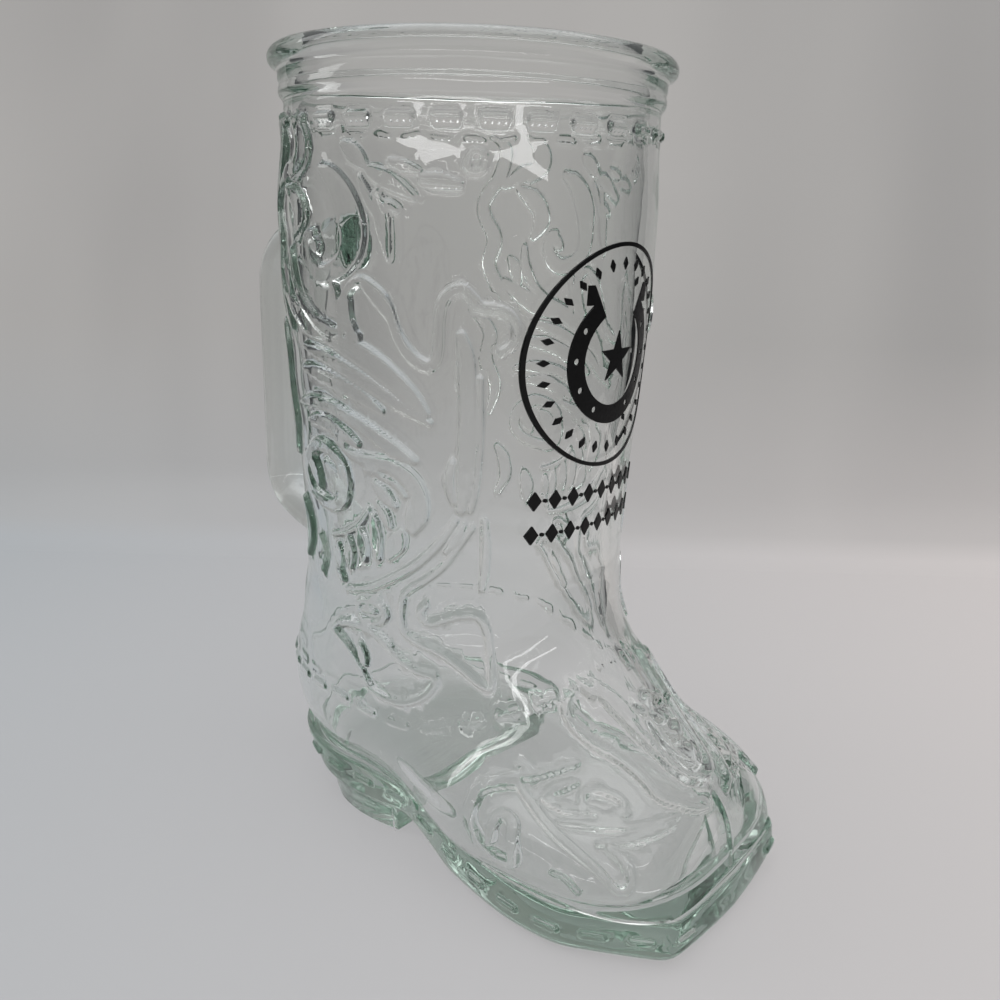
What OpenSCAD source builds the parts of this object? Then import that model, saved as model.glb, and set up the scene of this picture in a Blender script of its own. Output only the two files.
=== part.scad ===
// A glass drinking boot: a pressed-glass western boot with a beaded lip, a side handle,
// raised scrollwork and stitches, and a fired black print on the front of its shaft.
// Frame: millimetres, +Z up, +X to the toe, the origin under the shaft's axis on the table.

/* [Overall] */
// Height from the table to the top of the lip
total_h = 190; // [186:1:205]
// Thickness of the glass wall
wall = 4.2; // [3:0.1:5]

/* [Mouth] */
// Outer diameter of the bead round the lip
bead_d = 94; // [93:0.5:100]
// Height of the bead
bead_h = 4.6; // [4:0.2:6]
// Outer diameter of the plain collar under the bead
collar_d = 89.6; // [89.2:0.1:91.5]
// Height of the collar
collar_h = 7.4; // [6.5:0.1:9]

/* [Shaft] */
// Widest outer diameter of the shaft
shaft_d = 89.2; // [88:0.2:90.6]
// Outer diameter at the ankle
ankle_d = 82.4; // [80:0.2:84]
// Height of the ankle, where the shaft passes into the foot
ankle_z = 72; // [70:0.5:75]

/* [Foot] */
// Reach of the toe from the shaft's axis
toe_len = 86; // [82:1:92]
// Reach of the counter behind the shaft's axis
counter_reach = 47; // [45:0.5:49]
// Width of the sole at the ball
sole_w = 77.6; // [74:0.5:82]
// Thickness of the sole
sole_t = 12; // [10:0.5:14]
// Height of the heel block
heel_h = 8; // [6:0.5:9]
// Diameter of the heel block where it stands
heel_d = 70; // [66:1:72]
// Distance from the shaft's axis to the heel's flat front
heel_front = 5; // [3:0.5:8]

/* [Handle] */
// Diameter of the handle's bar
bar_d = 12.4; // [10:0.2:13.4]
// Distance from the shaft's axis to the middle of the grip
grip_reach = 73.5; // [70:0.5:78]
// Drop from the collar to the middle of the upper arm
upper_arm_drop = 31; // [26:0.5:36]
// Drop from the ankle to the lowest bend of the bar
lower_arm_drop = 4; // [0:0.5:6]
// Radius of the bends in the bar
bend_r = 13; // [11:0.5:14]

/* [Relief] */
// Width of a plain raised line
line_d = 2; // [1.6:0.1:2.4]
// Height by which a raised line stands out
line_rise = 0.9; // [0.6:0.05:1.1]
// Length of one moulded stitch
stitch_len = 6.8; // [6:0.1:7.6]
// Width of one moulded stitch
stitch_w = 2.6; // [2.2:0.1:3]

/* [Print] */
// Outer diameter of the printed ring
ring_d = 50; // [44:1:54]
// Width of the printed line
ink_w = 0.9; // [0.6:0.1:1.4]
// Thickness of the fired enamel
ink_t = 0.25; // [0.2:0.05:0.4]

/* [Hidden] */

glass = [0.80, 0.90, 0.86, 0.6];
thick_glass = [0.55, 0.74, 0.66, 0.8];
relief_glass = [0.70, 0.84, 0.80, 0.8];
ink = [0.05, 0.05, 0.05];

bead_z = total_h - bead_h;
collar_z = bead_z - collar_h;
shaft_span = collar_z - ankle_z;
bore_top = collar_d/2 - wall;
heel_top_z = heel_h + sole_t;
upper_arm_z = collar_z - upper_arm_drop;
lower_arm_z = ankle_z - lower_arm_drop;
// The ring's centre on the shaft
ring_place_share = 0.51;
ring_z = ankle_z + shaft_span*ring_place_share;
// Depth by which one region of the glass runs into the next
merge = 0.6;
// Overrun of a cut
cut = 1;

// Smooth value at x of a table of [place, value] rows
function slope(tab, i) =
    let (a = max(i - 1, 0), b = min(i + 1, len(tab) - 1))
    (tab[b][1] - tab[a][1])/(tab[b][0] - tab[a][0]);
function row_of(tab, x, i = 0) =
    i >= len(tab) - 2 || x < tab[i + 1][0] ? i : row_of(tab, x, i + 1);
function smooth_at(tab, x_in) =
    let (x = min(max(x_in, tab[0][0]), tab[len(tab) - 1][0]),
         i = row_of(tab, x),
         h = tab[i + 1][0] - tab[i][0],
         t = (x - tab[i][0])/h)
    (2*t*t*t - 3*t*t + 1)*tab[i][1] + (t*t*t - 2*t*t + t)*h*slope(tab, i)
    + (3*t*t - 2*t*t*t)*tab[i + 1][1] + (t*t*t - t*t)*h*slope(tab, i + 1);
function ramp(x) = let (t = min(max(x, 0), 1)) t*t*(3 - 2*t);
function mix(a, b, t) = a + (b - a)*t;

// Shaft: how far the radius has grown from the ankle's to the widest, by height
shaft_share = [[0, 0], [0.08, -0.02], [0.17, 0.12], [0.26, 0.29], [0.36, 0.47], [0.45, 0.65],
               [0.55, 0.82], [0.68, 0.97], [0.80, 1.00], [0.87, 0.90], [0.92, 0.80], [1, 0.72]];
function shaft_r(z) =
    mix(ankle_d/2, shaft_d/2, smooth_at(shaft_share, (z - ankle_z)/shaft_span));
shaft_rows = 22;
function shaft_levels() = [for (i = [0:shaft_rows]) ankle_z + shaft_span*i/shaft_rows];
function bore_r(z) = mix(shaft_r(z) - wall, bore_top, ramp((z - ankle_z)/shaft_span));

// Foot: rows from the feather edge (0) to the ankle (1), each as shares of the named sizes
row_share     = [0, 0.12, 0.25, 0.40, 0.55, 0.70, 0.85, 1];
back_z_share  = [0, 0.10, 0.21, 0.35, 0.50, 0.65, 0.83, 1];
front_z_share = [0, 0.10, 0.19, 0.275, 0.40, 0.57, 0.77, 1];
toe_share     = [0.955, 0.938, 0.908, 0.837, 0.663, 0.40, 0.11, 0];
back_share    = [0.40, 0.74, 0.97, 1.00, 0.83, 0.48, 0.17, 0];
side_share    = [0.955, 1.03, 1.08, 1.10, 1.10, 1.08, 1.07, 1];
middle_share  = [0.24, 0.165, 0.115, 0.07, 0.035, 0.01, 0, 0];
front_power   = [4.8, 3.7, 2.6, 1.85, 1.55, 1.55, 1.7, 2];
back_power    = [2.5, 2.4, 2.3, 2.2, 2.1, 2, 2, 2];
waist_share   = [0.11, 0.08, 0.05, 0.02, 0, 0, 0, 0];
vamp_wall_share = [1, 1, 1.2, 1.5, 1.5, 1.3, 1.1, 1];
function row_value(list, s) = smooth_at([for (i = [0:len(row_share) - 1]) [row_share[i], list[i]]], s);
function bent(x, power) = pow(abs(x), 2/power);
waist_x_share = 0.09;
waist_len_share = 0.19;
step_x_share = -0.07;
step_len_share = 0.47;
// Fall of the sole from the heel to the ball, 0 at the heel and 1 at the ball
function fall(x) = ramp((x/toe_len - step_x_share)/step_len_share);
function foot_point(s, t, inset = 0) =
    let (top = ramp((s - 0.85)/0.15),
         side = mix(row_value(side_share, s)*sole_w/2, ankle_d/2, top) - inset,
         front = mix(ankle_d/2, toe_len, row_value(toe_share, s))
                 - inset*row_value(vamp_wall_share, s),
         back = mix(ankle_d/2, counter_reach, row_value(back_share, s)) - inset,
         middle = row_value(middle_share, s)*toe_len,
         c = -cos(t), sn = sin(t),
         power = c > 0 ? row_value(front_power, s) : row_value(back_power, s),
         x = c > 0 ? middle + (front - middle)*bent(c, power)
                   : middle - (back + middle)*bent(c, power),
         dent = row_value(waist_share, s)
                *exp(-pow((x/toe_len - waist_x_share)/waist_len_share, 2)),
         y = -sign(sn)*side*bent(sn, power)*(1 - dent),
         zb = mix(heel_top_z, ankle_z, row_value(back_z_share, s)),
         zf = mix(sole_t, ankle_z, row_value(front_z_share, s)))
    [x, y, mix(zb, zf, fall(x))];

// Sole: half of its outline from the heel to the toe, as shares of its reach and half width
outline_share = [[-1, 0], [-0.96, 0.36], [-0.82, 0.67], [-0.58, 0.875], [-0.28, 0.95],
                 [0, 0.93], [0.115, 0.875], [0.23, 0.875], [0.35, 0.92], [0.49, 0.98],
                 [0.60, 1.0], [0.72, 0.965], [0.815, 0.865], [0.885, 0.775], [0.940, 0.70],
                 [0.966, 0.65], [0.977, 0.59], [0.985, 0.46], [0.994, 0.25], [1, 0]];
sole_back_share = 0.925;
outline_len = len(outline_share) - 1;
function outline_at(u) =
    let (xs = smooth_at([for (i = [0:outline_len]) [i/outline_len, outline_share[i][0]]], u),
         ys = smooth_at([for (i = [0:outline_len]) [i/outline_len, outline_share[i][1]]], u))
    [xs < 0 ? xs*counter_reach*sole_back_share : xs*toe_len, max(ys, 0)*sole_w/2];
function sole_top(x) = mix(heel_top_z, sole_t, fall(x));
arch_start_share = 0.06;
arch_len_share = 0.28;
function arch(x) = ramp((x/toe_len - arch_start_share)/arch_len_share);
function sole_base(x) = heel_h*(1 - arch(x));

// Strokes: closed tubes that follow a list of points on the glass
function spline_at(pts, u) =
    let (n = len(pts) - 1, i = min(floor(u*n), n - 1), t = u*n - i,
         a = pts[max(i - 1, 0)], b = pts[i], c = pts[i + 1], d = pts[min(i + 2, n)])
    0.5*(2*b + (c - a)*t + (2*a - 5*b + 4*c - d)*t*t + (3*b - 3*c + d - a)*t*t*t);
// Shortest length that a direction is taken from
tiny = 0.001;
function unit(v) = v/max(norm(v), tiny);
// Triangles of a closed grid of rows, from its point number first
function grid_faces(rows, cols, first = 0) =
    [for (i = [0:rows - 2]) for (k = [0:cols - 1]) for (half = [0, 1])
        let (a = first + i*cols + k, b = first + i*cols + (k + 1)%cols)
        half == 0 ? [a, a + cols, b + cols] : [a, b + cols, b]];
// Triangles between two rings of points
function rim_faces(a, b, cols) =
    [for (k = [0:cols - 1]) for (half = [0, 1])
        let (next = (k + 1)%cols)
        half == 0 ? [a + k, a + next, b + next] : [a + k, b + next, b + k]];
function turned(faces) = [for (f = faces) [for (i = [len(f) - 1:-1:0]) f[i]]];
stroke_sides = 6;
// A tube with its own half height and half width at each point
module tube(path, out, ups, halves) {
    n = len(path);
    m = stroke_sides;
    pts = [for (i = [0:n - 1])
        let (along = unit(path[min(i + 1, n - 1)] - path[max(i - 1, 0)]),
             up = unit(out[i] - along*(along*out[i])),
             side = cross(along, up))
        for (k = [0:m - 1]) path[i] + ups[i]*cos(360*k/m)*up + halves[i]*sin(360*k/m)*side];
    cap = [for (k = [0:m - 1]) k];
    far_cap = [for (k = [m - 1:-1:0]) (n - 1)*m + k];
    polyhedron(pts, concat([cap, far_cap], grid_faces(n, m)));
}
// Depth of a raised line's middle under the skin
bed = line_rise/2;
function half_height(width_share) = (line_rise + bed)*min(1, 0.5 + 0.5*width_share);
function stroke_steps(pts) = let (n = len(pts) - 1) n <= 2 ? 5 : round(1.4*n);
function spots_of(pts) = let (n = stroke_steps(pts)) [for (i = [0:n]) spline_at(pts, i/n)];
function shaft_place(q) =
    let (z = ankle_z + shaft_span*q[1], r = shaft_r(z) - bed) [r*cos(q[0]), -r*sin(q[0]), z];
// Raised lines on the shaft: [degrees from the toe, share of the shaft's height, share of the line's width]
module shaft_strokes(table) {
    for (pts = table)
        let (spots = spots_of(pts),
             path = [for (q = spots) shaft_place(q)],
             out = [for (q = path) [q[0], q[1], 0]])
        tube(path, out, [for (q = spots) half_height(q[2])], [for (q = spots) q[2]*line_d/2]);
}
// Raised lines on the foot: [degrees from the back, row from the feather edge, share of the line's width]
module foot_strokes(table) {
    for (pts = table)
        let (spots = spots_of(pts),
             normals = [for (q = spots) foot_normal([q[1], q[0]])],
             path = [for (i = [0:len(spots) - 1]) foot_point(spots[i][1], spots[i][0]) - bed*normals[i]])
        tube(path, normals, [for (q = spots) half_height(q[2])], [for (q = spots) q[2]*line_d/2]);
}
nudge_share = 0.01;
function foot_normal(q) =
    let (s = min(max(q[0], 2*nudge_share), 1 - 2*nudge_share),
         ds = foot_point(s + nudge_share, q[1]) - foot_point(s - nudge_share, q[1]),
         dt = foot_point(s, q[1] + 1) - foot_point(s, q[1] - 1))
    unit(cross(dt, ds));
// An oval stitch lies along a short path
stitch_sink = stitch_w/2 - line_rise;
module oval(path, out, width) {
    n = len(path) - 1;
    radii = [for (i = [0:n]) (width/2)*sqrt(max(0.12, 1 - pow(2*i/n - 1, 2)))];
    tube(path, out, radii, radii);
}
module mirrored(far) { mirror([0, far ? 1 : 0, 0]) children(); }

module rim_bead() {
    lip_r = bore_top + wall*0.45;
    color(glass) rotate_extrude($fn = 96) polygon(concat(
        [[bore_top, bead_z], [collar_d/2, bead_z]],
        [for (a = [-60:20:90]) [bead_d/2 - bead_h/2*(1 - cos(a)), bead_z + bead_h/2*(1 + sin(a))]],
        [[lip_r, total_h], [bore_top, total_h - (lip_r - bore_top)]]));
}

module collar() {
    groove = collar_h*0.1;
    foot_r = shaft_r(collar_z);
    color(glass) rotate_extrude($fn = 96) polygon([
        [bore_top, collar_z], [foot_r, collar_z],
        [collar_d/2 - groove/2, collar_z + groove], [collar_d/2, collar_z + 2*groove],
        [collar_d/2, collar_z + 4*groove], [collar_d/2 - groove/2, collar_z + 5*groove],
        [collar_d/2 - groove/2, collar_z + 6*groove], [collar_d/2, collar_z + 7*groove],
        [collar_d/2, bead_z], [bore_top, bead_z]]);
}

module shaft() {
    color(glass) rotate_extrude($fn = 96) polygon(concat(
        [for (z = shaft_levels()) [shaft_r(z), z]],
        [for (i = [shaft_rows:-1:0]) let (z = shaft_levels()[i]) [bore_r(z), z]]));
}

foot_cols = 56;
foot_row_shares = [0, 0.05, 0.12, 0.19, 0.26, 0.33, 0.40, 0.48, 0.56, 0.64, 0.72, 0.80, 0.88, 0.94, 1];
module foot_upper() {
    n = foot_cols;
    m = len(foot_row_shares);
    turns = [for (k = [0:n - 1]) 360*k/n];
    // The lowest row runs into the sole
    drop = [for (i = [0:m - 1]) [0, 0, i == 0 ? merge : 0]];
    outer = [for (i = [0:m - 1]) for (t = turns) foot_point(foot_row_shares[i], t) - drop[i]];
    inner = [for (i = [0:m - 1]) for (t = turns)
        let (p = foot_point(foot_row_shares[i], t, wall), q = foot_point(foot_row_shares[i], t))
        [p[0], p[1], q[2]] - drop[i]];
    all = m*n;
    last = (m - 1)*n;
    faces = concat(
        grid_faces(m, n),
        turned(grid_faces(m, n, all)),
        rim_faces(0, all, n),
        turned(rim_faces(last, all + last, n)));
    color(glass) polyhedron(concat(outer, inner), faces);
}

// Places along the outline at even steps of its length
outline_steps = 80;
outline_run = [for (i = 0, d = 0; i <= outline_steps;
    d = d + (i <= outline_steps ? norm(outline_at(min(i + 1, outline_steps)/outline_steps)
                                       - outline_at(min(i, outline_steps)/outline_steps)) : 0),
    i = i + 1) [d, i/outline_steps]];
function outline_u(part) = lookup(part*outline_run[outline_steps][0], outline_run);
sole_stations = 44;
end_share = 0.008;
// Levels of the sole's side: [share of its thickness, inset at the heel, inset at the ball]
side_level_shares = [[0, 0.10, 0.075], [0.20, 0.08, 0.012], [0.55, 0.05, 0],
                     [0.85, 0.02, 0.004], [1, 0.012, 0.02]];
function sole_rib(i) =
    let (q = outline_at(outline_u(mix(end_share, 1 - end_share, i/sole_stations))),
         x = q[0], b = sole_base(x), h = sole_top(x) - b,
         left = [for (lv = side_level_shares)
             let (k = 1 - mix(lv[1], lv[2], fall(x)))
             [x*mix(k, 1 - lv[2]*0.35, ramp(x/toe_len)), -q[1]*k, b + h*lv[0]]])
    concat(left, [for (j = [len(left) - 1:-1:0]) [left[j][0], -left[j][1], left[j][2]]]);
module sole() {
    m = 2*len(side_level_shares);
    n = sole_stations;
    pts = [for (i = [0:n]) for (q = sole_rib(i)) q];
    // Each end is closed level by level, from the left side to the right
    cap = [for (j = [0:m/2 - 2]) [j, j + 1, m - 2 - j, m - 1 - j]];
    far_cap = turned([for (f = cap) [for (k = f) n*m + k]]);
    color(thick_glass) polyhedron(pts, concat(cap, far_cap, grid_faces(n + 1, m)));
}

heel_steps = 24;
// The heel block keeps within the sole's narrowest level
heel_inset = side_level_shares[0][1];
module heel_outline() {
    half = [for (i = [0:heel_steps]) outline_at(0.5*i/heel_steps)*(1 - heel_inset)];
    polygon(concat(half, [for (i = [heel_steps:-1:1]) [half[i][0], -half[i][1]]]));
}
module heel() {
    heel_top_d = heel_d + heel_h*0.5;
    color(thick_glass) intersection() {
        cylinder(d1 = heel_d, d2 = heel_top_d, h = heel_h, $fn = 96);
        translate([-heel_top_d, -heel_top_d, -cut])
            cube([heel_top_d + heel_front, 2*heel_top_d, heel_h + 2*cut]);
        translate([0, 0, -cut]) linear_extrude(heel_h + 2*cut) heel_outline();
    }
}

// The arms swell from the bar to where they join the boot
arm_share = 1.03;
root_share = 1.2;
// Depth of an arm's end in the wall
root_share_of_wall = 0.6;
// The boot's back at a height: the shaft, or the counter below the ankle
back_rows = [for (i = [0:len(row_share) - 1]) [back_z_share[i], row_share[i]]];
function back_row(z) = lookup((z - heel_top_z)/(ankle_z - heel_top_z), back_rows);
function back_at(z) = z >= ankle_z ? shaft_r(z) : -foot_point(back_row(z), 0)[0];
// Run along the falling arm, settled in a few rounds
function run_to(start, turn, z) = (root_share_of_wall*wall - back_at(z) - start[0])/sin(turn);
function arm_run(start, turn, run = 0, rounds = 8) =
    rounds == 0 ? run : arm_run(start, turn, run_to(start, turn, start[2] - run*cos(turn)), rounds - 1);
module handle() {
    upper = [-grip_reach + bend_r, 0, upper_arm_z - bend_r];
    lower = [-grip_reach + bend_r, 0, lower_arm_z + bend_r];
    turn = 70;
    lead = [sin(turn), 0, -cos(turn)];
    exit = lower + bend_r*[-cos(turn), 0, -sin(turn)] - merge*lead;
    upper_run = merge + root_share_of_wall*wall - back_at(upper_arm_z) - upper[0];
    run = arm_run(exit, turn);
    color(glass) union() {
        translate([-grip_reach, 0, lower[2]]) cylinder(d = bar_d, h = upper[2] - lower[2], $fn = 48);
        translate(upper) rotate([90, 0, 0]) rotate([0, 0, 90])
            rotate_extrude(angle = 90, $fn = 64) translate([bend_r, 0]) circle(d = bar_d, $fn = 48);
        translate([upper[0] - merge, 0, upper_arm_z]) rotate([0, 90, 0])
            cylinder(d1 = bar_d*arm_share, d2 = bar_d*root_share, h = upper_run, $fn = 48);
        translate(lower) rotate([90, 0, 0]) rotate([0, 0, 180])
            rotate_extrude(angle = turn, $fn = 64) translate([bend_r, 0]) circle(d = bar_d, $fn = 48);
        translate(exit) rotate([0, 180 - turn, 0])
            cylinder(d1 = bar_d*arm_share, d2 = bar_d*root_share, h = run, $fn = 48);
    }
}

stitch_gap_share = 0.38;
module collar_stitches() {
    z = collar_z - 1.6*stitch_w;
    r = shaft_r(z);
    count = floor(360*(PI/180)*r/(stitch_len*(1 + stitch_gap_share)));
    half = stitch_len/2/r*180/PI;
    color(relief_glass) for (i = [0:count - 1])
        let (mid = 360*(i + 0.5)/count,
             path = [for (k = [-2:2]) let (a = mid + half*k/2, q = r - stitch_sink) [q*cos(a), q*sin(a), z]])
        oval(path, [for (q = path) [q[0], q[1], 0]], stitch_w);
}

// The ankle stitching: row by degrees from the back, low at the sides and high at the instep
ankle_row_shares = [[0, 0.47], [60, 0.46], [90, 0.50], [108, 0.56], [127, 0.665], [145, 0.73],
                    [165, 0.79], [180, 0.81]];
ankle_stitch_count = 32;
// Stitches lie closer in degrees along the long sides than at the toe and the back
ankle_spread = 7;
function spread(t) = t + ankle_spread*sin(2*t);
function ankle_row(t) = smooth_at(ankle_row_shares, t > 180 ? 360 - t : t);
module ankle_stitches() {
    color(relief_glass) for (i = [0:ankle_stitch_count - 1])
        let (mid = spread(360*(i + 0.5)/ankle_stitch_count),
             row = ankle_row(mid),
             reach = norm(foot_point(row, mid + 1) - foot_point(row, mid - 1))/2,
             half = stitch_len/2/reach,
             spots = [for (k = [-2:2]) let (t = mid + half*k/2) [ankle_row(t), t]],
             normals = [for (q = spots) foot_normal(q)],
             path = [for (k = [0:4]) foot_point(spots[k][0], spots[k][1]) - stitch_sink*normals[k]])
        oval(path, normals, stitch_w);
}

welt_stitch_count = 13;
welt_start_share = 0.16;
welt_end_share = 0.88;
welt_height_share = 0.55;
module welt_stitches() {
    sample_share = 0.004;
    color(relief_glass) for (side = [0, 1]) for (i = [0:welt_stitch_count - 1])
        let (u = mix(welt_start_share, welt_end_share, i/(welt_stitch_count - 1)),
             q = outline_at(outline_u(u)),
             a = outline_at(outline_u(u - sample_share)),
             b = outline_at(outline_u(u + sample_share)),
             run = norm(b - a),
             along = [(b[0] - a[0])/run, (b[1] - a[1])/run, (sole_top(b[0]) - sole_top(a[0]))/run],
             inward = unit([along[1], -along[0], 0]),
             k = 1 - mix(side_level_shares[2][1], side_level_shares[2][2], fall(q[0])),
             mid = [k*q[0], k*q[1], mix(sole_base(q[0]), sole_top(q[0]), welt_height_share)],
             path = [for (j = [-2:2]) mid + (stitch_len/4)*j*along + 2*stitch_sink*inward])
        mirror([0, side, 0]) oval(path, [for (j = [0:4]) -inward], stitch_w);
}

// The raised ornament, as strokes of shares that swell and taper, drawn for the near side
back_stem_shares = [
    [[124, 0.972, 0.6], [118, 0.925, 1.6], [120, 0.858, 1.9], [126, 0.792, 1.4], [122, 0.726, 1.9],
     [124, 0.66, 1.6], [119, 0.594, 1.8], [113, 0.547, 0.6]],
    [[130, 0.547, 0.6], [124, 0.481, 1.8], [125, 0.406, 1.9], [121, 0.33, 1.6], [123, 0.255, 0.6]],
    [[118, 0.151, 0.6], [114, 0.113, 1.5], [113, 0.066, 1.4], [116, 0.019, 0.6]]
];
module near_back_stem() { color(relief_glass) shaft_strokes(back_stem_shares); }
module far_back_stem() { mirrored(true) near_back_stem(); }

scroll_shares = [
    [[93, 0.868, 0.8], [88.5, 0.849, 1.9], [84.5, 0.816, 2.6], [82, 0.774, 3], [81.7, 0.731, 2.8],
     [84, 0.696, 2.2], [88.5, 0.674, 1.9], [93.5, 0.666, 1.9], [97.5, 0.681, 1.8],
     [99.6, 0.708, 1.7], [99, 0.736, 1.3], [96.5, 0.745, 0.7]],
    [[96.6, 0.732, 0.9], [95.8, 0.724, 1.4], [95, 0.715, 0.9]],
    [[108, 0.962, 0.7], [103.5, 0.929, 2.2], [103, 0.892, 2.5], [108, 0.854, 0.8]],
    [[112, 0.83, 0.7], [105.5, 0.807, 2], [103, 0.778, 2.2], [106.5, 0.736, 0.8]],
    [[110, 0.708, 0.6], [109.3, 0.67, 1], [107, 0.632, 1.1], [103.5, 0.604, 1.1], [98.5, 0.579, 1],
     [93, 0.564, 0.9], [88, 0.558, 0.5]],
    [[118, 0.623, 0.7], [110, 0.591, 2], [101, 0.558, 2], [92, 0.545, 1.2], [86, 0.547, 0.5]],
    [[116, 0.679, 0.6], [113.5, 0.656, 1.8], [112, 0.627, 0.8]],
    [[118, 0.835, 0.7], [111, 0.863, 1.7], [105, 0.88, 0.7]]
];
module near_scroll() { color(relief_glass) shaft_strokes(scroll_shares); }
module far_scroll() { mirrored(true) near_scroll(); }

leaves_shares = [
    [[84.8, 0.91, 0.7], [81, 0.891, 1.7], [77.3, 0.869, 0.6]],
    [[75.5, 0.861, 1.1], [70.5, 0.845, 1.6], [64, 0.819, 0.5]],
    [[70.3, 0.879, 0.6], [66.7, 0.871, 1], [63, 0.864, 0.5]],
    [[61.2, 0.85, 0.9], [57, 0.849, 1.1], [52, 0.842, 0.4]],
    [[50.6, 0.879, 0.5], [48.8, 0.9, 0.5], [46, 0.892, 0.5], [46.4, 0.871, 0.5], [49, 0.866, 0.5],
     [50.6, 0.879, 0.5]],
    [[79, 0.849, 0.5], [76.6, 0.817, 0.9], [74.4, 0.789, 0.6]],
    [[74.2, 0.787, 0.5], [71.3, 0.802, 0.8], [68.2, 0.795, 0.5]],
    [[73.6, 0.825, 0.7], [72.3, 0.774, 1.5], [70.6, 0.706, 0.4]],
    [[89.8, 0.657, 0.5], [88.4, 0.636, 0.8], [87.4, 0.604, 0.4]]
];
module near_leaves() { color(relief_glass) shaft_strokes(leaves_shares); }
module far_leaves() { mirrored(true) near_leaves(); }

yoke_line_shares = [
    [[86, 0.553, 0.6], [86.5, 0.585, 0.8], [85, 0.623, 0.8], [82, 0.651, 0.8], [79, 0.66, 0.8],
     [76, 0.651, 0.8], [73, 0.635, 0.8], [71, 0.613, 0.8], [69.4, 0.579, 0.8], [67.8, 0.552, 0.9],
     [65.5, 0.528, 1], [62.5, 0.509, 1.1], [59.5, 0.503, 1], [57.6, 0.519, 0.8], [57, 0.557, 0.8],
     [56.9, 0.594, 0.8], [56, 0.627, 0.8], [54, 0.646, 0.8], [51, 0.654, 0.8], [48, 0.636, 0.8],
     [46, 0.622, 0.7], [41, 0.616, 0.7], [38, 0.604, 0.7], [36.4, 0.58, 0.7], [37, 0.552, 0.6],
     [40, 0.535, 0.5]],
    [[83.6, 0.619, 0.6], [84.2, 0.587, 1.2], [82.7, 0.557, 1.2], [80.6, 0.551, 0.5]],
    [[78.2, 0.651, 0.5], [74, 0.625, 1], [70.6, 0.592, 0.5]],
    [[51, 0.565, 0.7], [49.6, 0.52, 1.4], [49, 0.44, 1.5], [49, 0.36, 1.5], [49.4, 0.27, 1.4], [50.4, 0.205, 0.7]],
    [[45.8, 0.48, 0.4], [45.6, 0.4, 0.6], [45.6, 0.33, 0.6], [46.4, 0.25, 0.6], [47.6, 0.205, 0.4]],
    [[52.6, 0.222, 0.4], [53.8, 0.265, 0.8], [53, 0.306, 0.4]],
    [[43.2, 0.18, 0.4], [42.6, 0.12, 0.7], [42.6, 0.07, 0.7], [43.4, 0.028, 0.4]]
];
module near_yoke_line() { color(relief_glass) shaft_strokes(yoke_line_shares); }
module far_yoke_line() { mirrored(true) near_yoke_line(); }

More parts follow.
